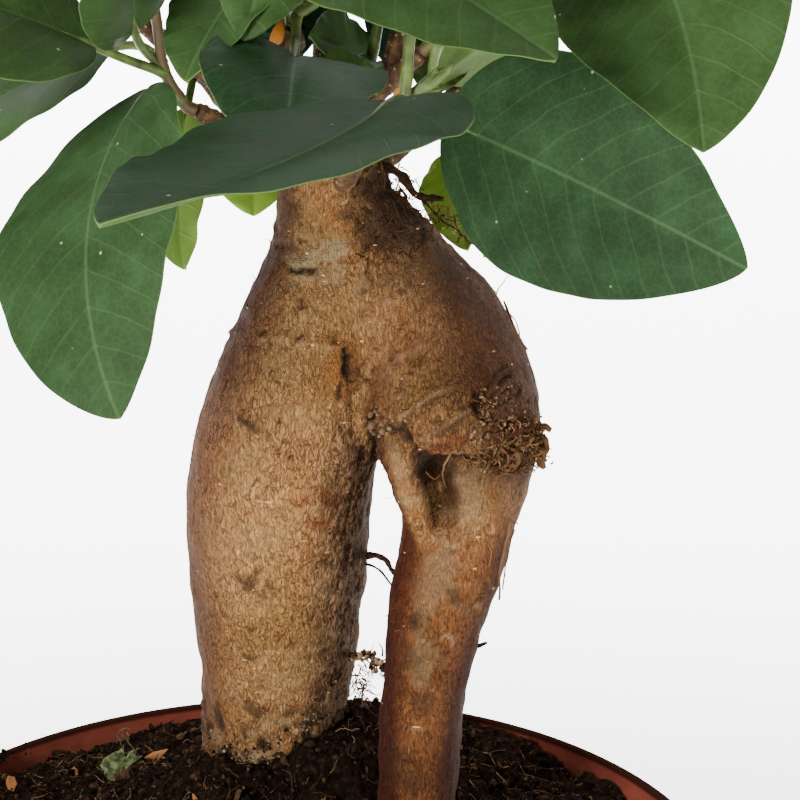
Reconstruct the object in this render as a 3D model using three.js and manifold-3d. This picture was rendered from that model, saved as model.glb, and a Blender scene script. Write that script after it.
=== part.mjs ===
// Ficus ginseng bonsai in its plastic pot: a pot-bellied rootstock standing on two root legs,
// with a crown of thick glossy leaves on grafted branches.
// Millimetres, +Z up. The origin is the centre of the pot's underside, and the pot stands on z = 0.
import * as THREE from "three";
import { mergeVertices } from "three/addons/utils/BufferGeometryUtils.js";
import Module from "manifold-3d";

const wasm = await Module();
wasm.setup();

// Driving dimensions
const POT_HEIGHT = 122;
const RIM_RADIUS = 70;
const COLLAR_HEIGHT = 17;
const WALL_RADIUS_TOP = 64.8;
const BASE_RADIUS = 50;
const WALL = 1.6;
const FLOOR = 2.4;
const DRAIN_HOLES = 8;
const DRAIN_RADIUS = 3.5;
const DRAIN_CIRCLE = 36;
const SEAT_GAP = 0.35;
const SOIL_BELOW_RIM = 4;
const HEAPS = [
  { centre: [1, 24], height: 15, reach: 24 },
  { centre: [10, 54], height: 4.5, reach: 26 },
  { centre: [-60, 28], height: 5, reach: 12 },
];
const SCRAP_PLACE = [-31.5, 43];
const CHIP_PLACE = [-24, 40];
const CHIP_SIZE = [7.5, 2.6, 1.4];
const BLADE_THICKNESS = 0.7;
const LEAF_LENGTH = 47;
const LEAF_SLENDERNESS = 0.63;
const PETIOLE_LENGTH = 11;
const PETIOLE_RADIUS = 0.75;
const SHOOT_RADIUS = 1;
const BRANCH_RADIUS = { foot: 1.9, tip: 1.2 };
const LEAF_CLEARANCE = 4.5;
const PETIOLE_CLEARANCE = 3.4;
const LEAVES_A_SHOOT = 7;
const SPIRAL_TURN = 2.4;
const CROWN_CENTRE = [8, 14, 138];
const CROWN_RADIUS = 92;
const SKIRT_HEIGHT = 137;
const SKIRT_SLOPE = 0.1;

const COLOURS = {
  pot: { color: 0xa8492c, roughness: 0.55, metalness: 0 },
  soil: { color: 0x2b1f18, roughness: 1, metalness: 0 },
  bark: { color: 0x8a6a44, roughness: 0.85, metalness: 0 },
  leaf: { color: 0x2f5a32, roughness: 0.4, metalness: 0 },
  dryLeaf: { color: 0x5f7d4c, roughness: 0.7, metalness: 0 },
  chip: { color: 0x8f5536, roughness: 0.9, metalness: 0 },
};

const part = new THREE.Group();

// Solids and meshes

function geometryOf(points, triangles) {
  const geometry = new THREE.BufferGeometry();
  geometry.setAttribute("position", new THREE.Float32BufferAttribute(points.flat(), 3));
  geometry.setIndex(triangles.flat());
  return geometry;
}

function solidOf(geometry) {
  const bare = geometry.clone();
  bare.deleteAttribute("normal");
  bare.deleteAttribute("uv");
  const merged = mergeVertices(bare, 1e-4);
  return new wasm.Manifold(
    new wasm.Mesh({
      numProp: 3,
      vertProperties: new Float32Array(merged.attributes.position.array),
      triVerts: new Uint32Array(merged.index.array),
    }),
  );
}

function addMesh(name, solid, colour) {
  const body = solid.getMesh();
  const geometry = new THREE.BufferGeometry();
  geometry.setAttribute("position", new THREE.BufferAttribute(new Float32Array(body.vertProperties), 3));
  geometry.setIndex(new THREE.BufferAttribute(new Uint32Array(body.triVerts), 1));
  geometry.computeVertexNormals();
  const mesh = new THREE.Mesh(geometry, new THREE.MeshStandardMaterial(COLOURS[colour]));
  mesh.name = name;
  part.add(mesh);
}

const joined = (solids) => solids.reduce((a, b) => a.add(b));

// The triangles of a stack of rings closed at both ends, each ring counterclockwise seen from the next.
function sleeve(steps, sides) {
  const triangles = [];
  for (let i = 0; i < steps; i++)
    for (let k = 0; k < sides; k++) {
      const a = i * sides + k;
      const b = i * sides + ((k + 1) % sides);
      triangles.push([a, b, b + sides], [a, b + sides, a + sides]);
    }
  const last = steps * sides;
  for (let k = 1; k < sides - 1; k++) triangles.push([0, k + 1, k], [last, last + k, last + k + 1]);
  return triangles;
}

// A closed tube of rings along a curve, its radius going evenly from the first to the last.
function tube(curve, radiusStart, radiusEnd, sides, steps) {
  const points = [];
  let side = null;
  for (let i = 0; i <= steps; i++) {
    const t = i / steps;
    const centre = curve.getPoint(t);
    const along = curve.getTangent(t);
    const across = Math.abs(along.z) < 0.9 ? new THREE.Vector3(0, 0, 1) : new THREE.Vector3(1, 0, 0);
    const start = side ?? across;
    side = start.clone().addScaledVector(along, -start.dot(along)).normalize();
    const up = new THREE.Vector3().crossVectors(along, side);
    const radius = radiusStart + (radiusEnd - radiusStart) * t;
    for (let k = 0; k < sides; k++) {
      const angle = (2 * Math.PI * k) / sides;
      const p = centre.clone();
      p.addScaledVector(side, radius * Math.cos(angle)).addScaledVector(up, radius * Math.sin(angle));
      points.push(p.toArray());
    }
  }
  return geometryOf(points, sleeve(steps, sides));
}

// A smooth curve through points whose heights count from the rim.
function curveThrough(points) {
  const places = points.map(([x, y, z]) => new THREE.Vector3(x, y, z + POT_HEIGHT));
  return new THREE.CatmullRomCurve3(places, false, "catmullrom", 0.5);
}

// Pot: a turned profile, from the middle of the underside round to the middle of the floor

function makePot() {
  const collarFoot = POT_HEIGHT - COLLAR_HEIGHT;
  const profile = [
    [0, 0],
    [BASE_RADIUS - 1.5, 0],
    [BASE_RADIUS, 1.2],
    [WALL_RADIUS_TOP, collarFoot - 2],
    [RIM_RADIUS - 1.8, collarFoot],
    [RIM_RADIUS - 0.7, POT_HEIGHT - 2.6],
    [RIM_RADIUS, POT_HEIGHT - 2],
    [RIM_RADIUS, POT_HEIGHT - 0.6],
    [RIM_RADIUS - 0.6, POT_HEIGHT],
    [RIM_RADIUS - 2.2, POT_HEIGHT],
    [RIM_RADIUS - 2.7, POT_HEIGHT - 0.6],
    [RIM_RADIUS - 2.3 - WALL, collarFoot + 1],
    [WALL_RADIUS_TOP - WALL, collarFoot - 2.5],
    [BASE_RADIUS - WALL, FLOOR],
    [0, FLOOR],
  ];
  const shell = new THREE.LatheGeometry(
    profile.map(([r, z]) => new THREE.Vector2(r, z)),
    48,
  ).rotateX(Math.PI / 2);
  let pot = solidOf(shell);
  for (let i = 0; i < DRAIN_HOLES; i++) {
    const angle = (2 * Math.PI * (i + 0.5)) / DRAIN_HOLES;
    const hole = new THREE.CylinderGeometry(DRAIN_RADIUS, DRAIN_RADIUS, 3 * FLOOR, 10).rotateX(Math.PI / 2);
    hole.translate(DRAIN_CIRCLE * Math.cos(angle), DRAIN_CIRCLE * Math.sin(angle), FLOOR / 2);
    pot = pot.subtract(solidOf(hole));
  }
  return pot;
}

// Soil: fills the pot, lies a little below the rim and is mounded up round the two legs

function lump(x, y) {
  const coarse = Math.sin(0.31 * x + 1.3) * Math.cos(0.27 * y - 0.4) + Math.sin(0.19 * x - 0.23 * y);
  const fine = Math.sin(0.83 * x + 0.4 * y) * Math.sin(0.71 * y - 0.2 * x + 2);
  return 0.75 * coarse + 0.55 * fine;
}

function soilTop(x, y) {
  const heap = ({ centre, height, reach }) =>
    height * Math.exp(-(((x - centre[0]) ** 2 + (y - centre[1]) ** 2) / reach ** 2));
  return POT_HEIGHT - SOIL_BELOW_RIM + HEAPS.reduce((sum, h) => sum + heap(h), 0) + lump(x, y);
}

function makeSoil(roots) {
  const sectors = 44;
  const shares = [0.1, 0.22, 0.34, 0.46, 0.58, 0.7, 0.81, 0.91, 1];
  const collarFoot = POT_HEIGHT - COLLAR_HEIGHT;
  const topRadius = RIM_RADIUS - 2.7 - SEAT_GAP - 0.5;
  const sides = [
    [RIM_RADIUS - 2.3 - WALL - SEAT_GAP, collarFoot + 1.2],
    [WALL_RADIUS_TOP - WALL - SEAT_GAP, collarFoot - 2.6],
    [BASE_RADIUS - WALL - SEAT_GAP, FLOOR + SEAT_GAP],
  ];
  const points = [[0, 0, soilTop(0, 0)]];
  const ring = (radius, height) => {
    for (let k = 0; k < sectors; k++) {
      const angle = (2 * Math.PI * k) / sectors;
      const x = radius * Math.cos(angle);
      const y = radius * Math.sin(angle);
      points.push([x, y, height ?? Math.min(soilTop(x, y), radius > 62 ? POT_HEIGHT : Infinity)]);
    }
  };
  shares.forEach((share) => ring(share * topRadius));
  sides.forEach(([radius, height]) => ring(radius, height));
  points.push([0, 0, FLOOR + SEAT_GAP]);
  const rings = shares.length + sides.length;
  const triangles = [];
  for (let k = 0; k < sectors; k++) {
    const next = (k + 1) % sectors;
    triangles.push([0, 1 + k, 1 + next]);
    for (let i = 0; i < rings - 1; i++) {
      const a = 1 + i * sectors + k;
      const b = 1 + i * sectors + next;
      triangles.push([a, a + sectors, b + sectors], [a, b + sectors, b]);
    }
    const last = 1 + (rings - 1) * sectors;
    triangles.push([points.length - 1, last + next, last + k]);
  }
  return solidOf(geometryOf(points, triangles)).subtract(roots);
}

// Rootstock: two legs that lean together into one pot belly and a neck. A leg is a stack of
// ellipses, [height above the rim, centre x, centre y, half width in x, half width in y].

const LEFT_LEG = [
  [-64, -7, 31, 2, 2],
  [-30, -6, 29.5, 7, 7],
  [4, -5, 28, 9.5, 9.5],
  [18, -2.5, 27, 11.8, 11.2],
  [38, -1.5, 23, 13.8, 13],
  [58, -0.5, 19, 14.6, 14],
  [75, 3.3, 18, 14.2, 14.4],
  [88, 7, 18, 12.7, 13],
  [96, 8.2, 18, 10.1, 11],
  [104, 8.4, 18, 8.5, 9],
  [112, 8, 18, 7.2, 7.6],
  [116, 7.8, 18, 3.5, 3.5],
];
const RIGHT_LEG = [
  [-58, 19, 1, 2, 2],
  [-25, 20, 2.3, 5, 5],
  [8, 20.8, 4, 5.9, 6.2],
  [24, 21.7, 6, 6.6, 6.8],
  [35, 23.1, 8, 7, 7.2],
  [45, 25.4, 9.8, 8.3, 8.6],
  [53, 27.2, 11.5, 8.8, 9.3],
  [60, 28.2, 13, 10, 10.2],
  [68, 27.3, 14.5, 12.5, 12.6],
  [78, 24.7, 16, 14, 14],
  [88, 20.8, 17, 13.4, 13],
  [96, 16.8, 17.5, 10.9, 10.6],
  [103, 12.5, 18, 8, 8],
  [107, 10, 18, 4, 4],
];
const BELLY = { centre: [25.5, 11.5, 74], size: [13, 12.5, 9.5] };
const KNOT = { centre: [35.5, 9.5, 69.5], size: [5.6, 5, 5.8] };
const POCKET = { centre: [23.6, 2.6, 60.5], size: [3.4, 5, 5] };
const STRUT = {
  path: [[17.4, 6, 72.5], [18.3, 3.6, 68.5], [19.6, 3.6, 63.5], [22.6, 6.5, 52.5]],
  radius: [2.6, 1.6],
};

// Heights above the rim along each thin root that stands off the rootstock, with its end radii.
const ROOTLETS = [
  { path: [[35, 10, 69], [38.5, 8, 71.2], [41, 7.5, 69.8]], radius: [1.3, 0.6] },
  { path: [[35, 10, 66], [38.5, 8.5, 66.5], [40, 8, 62.6]], radius: [1.8, 1] },
  { path: [[12, 21, 45.6], [15, 15, 48], [20, 10, 42.8]], radius: [0.8, 0.7] },
  { path: [[7, 25, 27], [13, 16, 30.5], [20, 7, 25.5]], radius: [0.9, 0.8] },
  { path: [[26, 7.5, 35], [30, 7, 35.5], [32, 6.6, 36.4]], radius: [0.7, 0.4] },
  { path: [[11, 17, 110], [17.5, 16, 109], [28, 14, 101], [32, 12, 98]], radius: [0.8, 0.5] },
];

// A stack of ellipses as one smooth solid, each ellipse grown outwards by the same amount.
function loft(stack, grow) {
  const sides = 20;
  const between = 2;
  const rings = (stack.length - 1) * between;
  const section = (t) => {
    const i = Math.min(Math.floor(t), stack.length - 2);
    const [before, low, high, after] = [i - 1, i, i + 1, i + 2].map(
      (k) => stack[Math.min(Math.max(k, 0), stack.length - 1)],
    );
    const s = t - i;
    return low.map((value, k) => {
      const lean = (high[k] - before[k]) / 2;
      const leanAfter = (after[k] - value) / 2;
      const rise = high[k] - value;
      return value + s * (lean + s * (3 * rise - 2 * lean - leanAfter + s * (lean + leanAfter - 2 * rise)));
    });
  };
  const points = [];
  for (let i = 0; i <= rings; i++) {
    const [z, cx, cy, rx, ry] = section(i / between);
    for (let k = 0; k < sides; k++) {
      const angle = (2 * Math.PI * k) / sides;
      const [x, y] = [cx + (rx + grow) * Math.cos(angle), cy + (ry + grow) * Math.sin(angle)];
      points.push([x, y, z + POT_HEIGHT]);
    }
  }
  return solidOf(geometryOf(points, sleeve(rings, sides)));
}

function egg({ centre, size }) {
  const ball = new THREE.SphereGeometry(1, 14, 8).scale(...size);
  return solidOf(ball.translate(centre[0], centre[1], centre[2] + POT_HEIGHT));
}

const root = ({ path, radius }, sides) => solidOf(tube(curveThrough(path), ...radius, sides, 6));

function makeRootstock() {
  const legs = loft(LEFT_LEG, 0).add(loft(RIGHT_LEG, 0)).add(egg(BELLY));
  const carved = legs.subtract(egg(POCKET)).add(egg(KNOT)).add(root(STRUT, 8));
  return joined([carved, ...ROOTLETS.map((rootlet) => root(rootlet, 5))]);
}

// Crown. Heights are above the rim. Each shoot has its wood, the brown part of the branch from the
// rootstock to where the green begins; its green stem; and the leaves that hang in a known place, each
// with the share of the stem where its petiole starts. The rest of the leaves follow a rule.

const SHOOTS = [
  {
    name: "left",
    wood: [[4, 16, 108], [-7, 13, 116], [-11.5, 10.5, 119]],
    stem: [[-16, 8.5, 125.5], [-17, 8, 134], [-20, 6, 146], [-26, 2, 160]],
    leaves: [
      {
        at: 0.22, base: [-18, 5.5, 123], tip: [-19, -31, 84], face: [-0.5, -0.9, 0.1],
        width: 34, arch: 1, fold: 0.1, sway: -0.5, twist: 0.4,
      },
      {
        at: 0.38, base: [-25, 1.5, 129.5], tip: [-65, -18, 142], face: [0.1, -0.6, 0.8],
        width: 30, arch: 0.5,
      },
      {
        at: 0.42, base: [-24, 16, 128], tip: [-64, 9, 104], face: [0, -0.3, 0.95],
        width: 28, arch: 0.4,
      },
      {
        at: 0.4, base: [-20, 6, 131], tip: [-20, -20, 157], face: [0.5, -0.8, 0.2],
        width: 21, arch: 0.4,
      },
    ],
  },
  {
    name: "front",
    wood: [[9, 14, 106], [12, 4, 113], [15, -8, 118], [18, -14, 122.5]],
    stem: [[19.5, -15, 130], [20, -15, 140], [20, -20, 162]],
    leaves: [
      {
        at: 0.2, base: [17, -33, 126.5], tip: [-13.5, -84, 121], face: [0, 0.15, 1],
        width: 38, arch: 0.5, sway: 1.7,
      },
      {
        at: 0.62, base: [3, -14, 149], tip: [37.5, -42, 133], face: [0.15, -0.65, 0.75],
        width: 29, arch: 0.5, sway: -0.2,
      },
    ],
  },
  {
    name: "middle",
    wood: [[7, 16, 108], [3, 12, 119], [0.5, 8.5, 127], [2.5, 9, 131]],
    stem: [[8, 10, 140], [6, 8, 172]],
    leaves: [
      {
        at: 0.3, base: [3.5, 1.5, 128], tip: [3.5, -33, 119], face: [0.1, -0.6, 0.8],
        width: 26, arch: 0.8, twist: -0.45,
      },
      {
        at: 0.45, base: [-1, 12, 139], tip: [-11, -10, 126], face: [-0.5, -0.8, 0.3],
        width: 20, arch: 0.9, sway: 0.4,
      },
      {
        at: 0.6, base: [2, 8, 150], tip: [-3, -9, 131.5], face: [0.1, -0.95, 0.3],
        width: 17, arch: 0.8,
      },
    ],
  },
  {
    name: "right",
    wood: [[9, 18, 108], [13.5, 18, 118.5], [18, 15.5, 123.8], [21.5, 13.8, 127]],
    stem: [[28, 11.5, 132.5], [36, 9, 141], [46, 10, 158]],
    leaves: [
      {
        at: 0.3, base: [25, 10.5, 117.5], tip: [66, -17.5, 101.5], face: [-0.15, -1, -0.1],
        width: 34, arch: 0.3, fold: 0.12, sway: 0.6, twist: -0.2,
      },
      {
        at: 0.34, base: [24, 18, 123], tip: [56, 28, 139], face: [-0.1, 0.65, 0.75],
        width: 26, arch: 0.45,
      },
      {
        at: 0.75, base: [50, 16, 149], tip: [59.5, -17, 117.5], face: [-0.1, -1, 0.15],
        width: 35, arch: 0.7, sway: 0.8, twist: 0.4,
      },
    ],
  },
  {
    name: "centre",
    wood: [[9, 19, 106], [11.3, 20.7, 113], [12.3, 21.3, 117.2]],
    stem: [[15.4, 22, 132], [18, 26, 150], [20, 28, 172]],
    leaves: [
      {
        at: 0.72, base: [14.5, 32, 121.5], tip: [5, 18, 129], face: [-0.1, -0.8, 0.55],
        width: 16, arch: 0.35,
      },
      {
        at: 0.32, base: [7, 23, 124], tip: [15, 7.5, 122], face: [0.15, -0.7, 0.7],
        width: 11, arch: 0.3,
      },
    ],
  },
  {
    name: "back_left",
    wood: [[5, 22, 108], [-5, 26, 114], [-12.5, 34, 121]],
    stem: [[-14, 38, 130], [-22, 44, 146]],
    leaves: [
      {
        at: 0.4, base: [-14.5, 28, 117], tip: [-14, 11, 95], face: [-0.5, -0.85, 0],
        width: 15, arch: 0.45,
      },
      {
        at: 0.38, base: [-5, 36, 115], tip: [-4.5, 27, 100], face: [0, -1, 0.15],
        width: 17, arch: 0.4,
      },
    ],
  },
  {
    name: "back_right",
    wood: [[11, 21, 106], [20, 28, 112], [29, 36, 120]],
    stem: [[33, 40, 132], [40, 44, 148]],
    leaves: [
      {
        at: 0.38, base: [26, 38, 108], tip: [29, 27, 94.5], face: [-0.05, -0.95, -0.35],
        width: 11, arch: 0.4,
      },
    ],
  },
  {
    name: "far_left",
    wood: [[4, 22, 108], [-8, 30, 119], [-19, 33, 127], [-27, 33, 134]],
    stem: [[-36, 30, 142], [-43, 27, 154]],
    leaves: [],
  },
  {
    name: "low_front",
    wood: [[2, 31, 126], [-3, 12, 150], [-4, -4, 157]],
    stem: [[-6, -16, 164], [-8, -24, 176]],
    leaves: [],
  },
  {
    name: "top_left",
    wood: [[6, 23, 110], [2, 31, 124], [-4, 26, 148]],
    stem: [[-8, 20, 160], [-10, 18, 182]],
    leaves: [],
  },
  {
    name: "top_right",
    wood: [[16.5, 16.4, 122], [20, 19, 133], [28, 25, 150]],
    stem: [[32, 20, 164], [30, 14, 184]],
    leaves: [],
  },
  {
    name: "rear",
    wood: [[9, 23, 109], [6, 37, 122], [7, 45, 133]],
    stem: [[8, 50, 146], [6, 52, 164]],
    leaves: [],
  },
];

// A leaf's midrib is an arc from base to tip that bows towards its face, or to one side by the sway.
// Everything that a point of the blade needs is worked out here once.
function leafFrame({ base, tip, face, arch, sway = 0 }) {
  const chord = new THREE.Vector3().subVectors(tip, base);
  const reach = chord.length();
  chord.normalize();
  const up = face.clone().addScaledVector(chord, -face.dot(chord)).normalize();
  const side = new THREE.Vector3().crossVectors(up, chord);
  const bow = up.clone().multiplyScalar(Math.cos(sway)).addScaledVector(side, Math.sin(sway));
  const length = (reach * arch) / 2 / Math.sin(arch / 2);
  return { base, chord, up, bow, sway, arch, length };
}

// Half width of the blade at a share u of its length: a full oval with a short blunt drip tip.
function outline(u, widest) {
  const power = Math.log(0.5) / Math.log(widest / 0.97);
  const oval = Math.sin(Math.PI * Math.min(u / 0.97, 1) ** power) ** 0.72;
  const tip = 0.12 * u * Math.sqrt(1 - u ** 10);
  return Math.hypot(oval, tip);
}

// A point of the blade: u runs from base to tip, v from -1 to 1 across. Each half rises from the
// midrib at the fold angle and curls down towards its edge. Gives the point and the face's normal.
function bladePoint(leaf, frame, u, v) {
  const { fold = 0.27, twist = 0, widest = 0.41, width } = leaf;
  const { chord, bow, up, arch, length } = frame;
  const turn = arch / 2 - arch * u;
  const along = (length / arch) * (Math.sin(arch / 2) - Math.sin(turn));
  const bowed = (length / arch) * (Math.cos(turn) - Math.cos(arch / 2));
  const point = frame.base.clone().addScaledVector(chord, along).addScaledVector(bow, bowed);
  const heading = chord.clone().multiplyScalar(Math.cos(turn)).addScaledVector(bow, Math.sin(turn));
  const lift = Math.cos(frame.sway);
  const flat = up.clone().addScaledVector(bow, lift * (Math.cos(turn) - 1));
  flat.addScaledVector(chord, -lift * Math.sin(turn));
  const level = new THREE.Vector3().crossVectors(flat, heading);
  const roll = twist * (u - 0.5);
  const normal = flat.clone().multiplyScalar(Math.cos(roll)).addScaledVector(level, Math.sin(roll));
  const side = new THREE.Vector3().crossVectors(normal, heading);
  const reach = (Math.abs(v) * width * outline(u, widest)) / 2;
  const curl = fold / (0.35 * width);
  const lean = fold - curl * reach;
  point.addScaledVector(side, (Math.sign(v) * (Math.sin(fold) - Math.sin(lean))) / curl);
  point.addScaledVector(normal, (Math.cos(lean) - Math.cos(fold)) / curl);
  const face = normal.clone().multiplyScalar(Math.cos(lean));
  face.addScaledVector(side, -Math.sign(v) * Math.sin(lean));
  return [point, face];
}

// Both faces of the blade share one pattern of triangles, mirrored about the midrib, so the blade
// is the same thickness everywhere.
function blade(leaf, stations, lanes, thickness = BLADE_THICKNESS) {
  const frame = leafFrame(leaf);
  const points = [];
  for (const sign of [1, -1]) {
    const add = (u, v) => {
      const [point, face] = bladePoint(leaf, frame, u, v);
      points.push(point.addScaledVector(face, (sign * thickness) / 2).toArray());
    };
    add(0, 0);
    stations.forEach((u) => lanes.forEach((v) => add(u, v)));
    add(1, 0);
  }
  const lane = lanes.length;
  const last = stations.length - 1;
  const under = points.length / 2;
  const at = (i, j) => 1 + i * lane + j;
  const face = [];
  for (let j = 0; j < lane - 1; j++) {
    face.push([0, at(0, j), at(0, j + 1)], [under - 1, at(last, j + 1), at(last, j)]);
    for (let i = 0; i < last; i++) {
      const [a, b, c, d] = [at(i, j), at(i + 1, j), at(i + 1, j + 1), at(i, j + 1)];
      if (lanes[j] < 0) face.push([a, b, c], [a, c, d]);
      else face.push([a, b, d], [b, c, d]);
    }
  }
  const triangles = face.flatMap(([a, b, c]) => [[a, b, c], [a + under, c + under, b + under]]);
  const rows = stations.map((_, i) => i);
  const rim = [0, ...rows.map((i) => at(i, 0)), under - 1, ...rows.reverse().map((i) => at(i, lane - 1))];
  rim.forEach((a, i) => {
    const b = rim[(i + 1) % rim.length];
    triangles.push([a, a + under, b + under], [a, b + under, b]);
  });
  return geometryOf(points, triangles);
}

// The petiole leaves the stem, bends into line with the midrib and runs on under the blade's foot.
function petioleCurve(from, leaf) {
  const frame = leafFrame(leaf);
  const [seat] = bladePoint(leaf, frame, 0.12, 0);
  const [foot, ahead] = [0, 0.05].map((u) => bladePoint(leaf, frame, u, 0)[0]);
  const back = foot.clone().sub(ahead).setLength(0.35 * from.distanceTo(foot));
  const joint = foot.clone().add(back);
  return new THREE.CubicBezierCurve3(from, from.clone().lerp(joint, 0.6), joint, seat);
}

// Random numbers that every run repeats.
let seed = 20251;
function draw(low, high) {
  seed = (seed * 48271) % 2147483647;
  return low + (high - low) * (seed / 2147483647);
}

const steps = (count) => Array.from({ length: count + 1 }, (_, i) => i / count);

// The places that keep leaves apart: points spread over the blade, and points along the petiole.
function feelers(leaf) {
  const frame = leafFrame(leaf);
  const onBlade = steps(12).flatMap((u) => steps(6).map((v) => bladePoint(leaf, frame, u, 2 * v - 1)[0]));
  return { onBlade, onPetiole: petioleCurve(leaf.from, leaf).getPoints(6) };
}

function isClear(spots, taken, clearance) {
  return spots.every((p) => taken.every((q) => p.distanceToSquared(q) > clearance ** 2));
}

function skirtAt(y) {
  return POT_HEIGHT + SKIRT_HEIGHT - SKIRT_SLOPE * y;
}

// One more leaf for a stem: it points away from the stem at its turn of the spiral, faces up and
// out of the crown, droops more the lower it sits, and is tried at several angles until it is clear.
function grownLeaf(stem, at, turn, taken) {
  const centre = new THREE.Vector3(...CROWN_CENTRE).setZ(CROWN_CENTRE[2] + POT_HEIGHT);
  const from = stem.getPoint(at);
  const tangent = stem.getTangent(at);
  for (let tries = 0; tries < 60; tries++) {
    const azimuth = turn + draw(-0.3, 0.3) * (1 + tries / 10);
    const droop = draw(-0.5, 0.1) + 0.9 * at;
    const length = LEAF_LENGTH * draw(0.85, 1.12) * (1 - tries / 200);
    const out = new THREE.Vector3(Math.cos(azimuth), Math.sin(azimuth), 0);
    const outward = from.clone().sub(centre).setZ(0).normalize();
    const heading = out.clone().addScaledVector(outward, 0.35).normalize();
    const rise = heading.clone().addScaledVector(tangent, 0.7 + at).setLength(PETIOLE_LENGTH);
    const base = from.clone().add(rise);
    const chord = heading.clone().setZ(droop).normalize();
    const leaf = {
      from,
      base,
      tip: base.clone().addScaledVector(chord, length),
      face: new THREE.Vector3(draw(-0.3, 0.3), draw(-0.3, 0.3), 1).addScaledVector(heading, 0.5),
      width: length * LEAF_SLENDERNESS * draw(0.92, 1.08),
      arch: draw(0.3, 0.75),
      fold: draw(0.18, 0.34),
      sway: draw(-0.4, 0.4),
      twist: draw(-0.3, 0.3),
      widest: draw(0.38, 0.47),
    };
    const { onBlade, onPetiole } = feelers(leaf);
    const inside = onBlade.every((p) => p.z > skirtAt(p.y) && p.distanceTo(centre) < CROWN_RADIUS);
    const outerPetiole = onPetiole.slice(3);
    if (inside && isClear(onBlade, taken, LEAF_CLEARANCE) && isClear(outerPetiole, taken, PETIOLE_CLEARANCE))
      return leaf;
  }
  return null;
}

function growCrown() {
  const taken = [];
  const occupy = (leaf) => Object.values(feelers(leaf)).forEach((spots) => taken.push(...spots));
  const shoots = SHOOTS.map((shoot) => {
    const wood = curveThrough(shoot.wood);
    const tipOfWood = wood.getPoint(1).addScaledVector(wood.getTangent(1), SEAT_GAP);
    const start = [tipOfWood, tipOfWood.clone().addScaledVector(wood.getTangent(1), 2)];
    const stem = curveThrough([...start.map(({ x, y, z }) => [x, y, z - POT_HEIGHT]), ...shoot.stem]);
    taken.push(...wood.getPoints(12), ...stem.getPoints(24));
    const leaves = shoot.leaves.map((given) => {
      const place = ([x, y, z]) => new THREE.Vector3(x, y, z + POT_HEIGHT);
      const [base, tip] = [place(given.base), place(given.tip)];
      return { ...given, base, tip, face: new THREE.Vector3(...given.face), from: stem.getPoint(given.at) };
    });
    leaves.forEach((leaf) => occupy(leaf));
    return { name: shoot.name, wood, stem, leaves };
  });
  for (let i = 0; i < LEAVES_A_SHOOT; i++)
    shoots.forEach(({ stem, leaves }, order) => {
      const at = 0.25 + (0.75 * i) / (LEAVES_A_SHOOT - 1);
      const leaf = grownLeaf(stem, at, SPIRAL_TURN * (i + 2 * order), taken);
      if (!leaf) return;
      leaves.push(leaf);
      occupy(leaf);
    });
  return shoots;
}

function makeShoot({ stem, leaves }) {
  const pieces = [tube(stem, SHOOT_RADIUS, SHOOT_RADIUS * 0.6, 5, 5)];
  leaves.forEach((leaf) => {
    const fine = leaf.tip.y < 0 && leaf.tip.z < POT_HEIGHT + SKIRT_HEIGHT;
    pieces.push(
      fine
        ? blade(leaf, [0.05, 0.18, 0.38, 0.6, 0.8, 0.93], [-1, -0.5, 0, 0.5, 1])
        : blade(leaf, [0.08, 0.32, 0.62, 0.88], [-1, 0, 1]),
      tube(petioleCurve(leaf.from, leaf), PETIOLE_RADIUS, PETIOLE_RADIUS * 0.85, 3, 3),
    );
  });
  return joined(pieces.map(solidOf));
}

// Litter: a fallen scrap of leaf and a chip of bark, each pressed a little way into the soil, which
// has a dent with the seat gap all round it

function makeScrap(grow) {
  const ground = soilTop(...SCRAP_PLACE);
  const [x, y] = SCRAP_PLACE;
  const leaf = {
    base: new THREE.Vector3(x - 2.2 - grow, y - 3, ground - 0.2 - grow),
    tip: new THREE.Vector3(x + 2.6 + grow, y + 3.4, ground + 3.4 + grow),
    face: new THREE.Vector3(-0.2, -0.7, 0.7),
    width: 7.6 + 2 * grow,
    arch: 0.6,
    fold: 0.4,
  };
  return solidOf(blade(leaf, [0.12, 0.4, 0.7, 0.9], [-1, 0, 1], BLADE_THICKNESS + 2 * grow));
}

function makeChip(grow) {
  const box = new THREE.BoxGeometry(...CHIP_SIZE.map((size) => size + 2 * grow));
  box.rotateX(0.5).rotateY(-0.12).rotateZ(0.35);
  const [x, y] = CHIP_PLACE;
  return solidOf(box.translate(x, y, soilTop(x, y) + 0.8));
}

// Assembly

const crown = growCrown();
const branches = crown.map(({ wood }) => solidOf(tube(wood, BRANCH_RADIUS.foot, BRANCH_RADIUS.tip, 5, 5)));

addMesh("pot", makePot(), "pot");
const dents = [loft(LEFT_LEG, SEAT_GAP), loft(RIGHT_LEG, SEAT_GAP), makeScrap(SEAT_GAP), makeChip(SEAT_GAP)];
addMesh("soil", makeSoil(joined(dents)), "soil");
addMesh("leaf_scrap", makeScrap(0), "dryLeaf");
addMesh("bark_chip", makeChip(0), "chip");
addMesh("trunk", joined([makeRootstock(), ...branches]), "bark");
crown.forEach((shoot) => addMesh(`shoot_${shoot.name}`, makeShoot(shoot), "leaf"));

export default part;
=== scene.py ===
import math
from functools import partial

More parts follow.
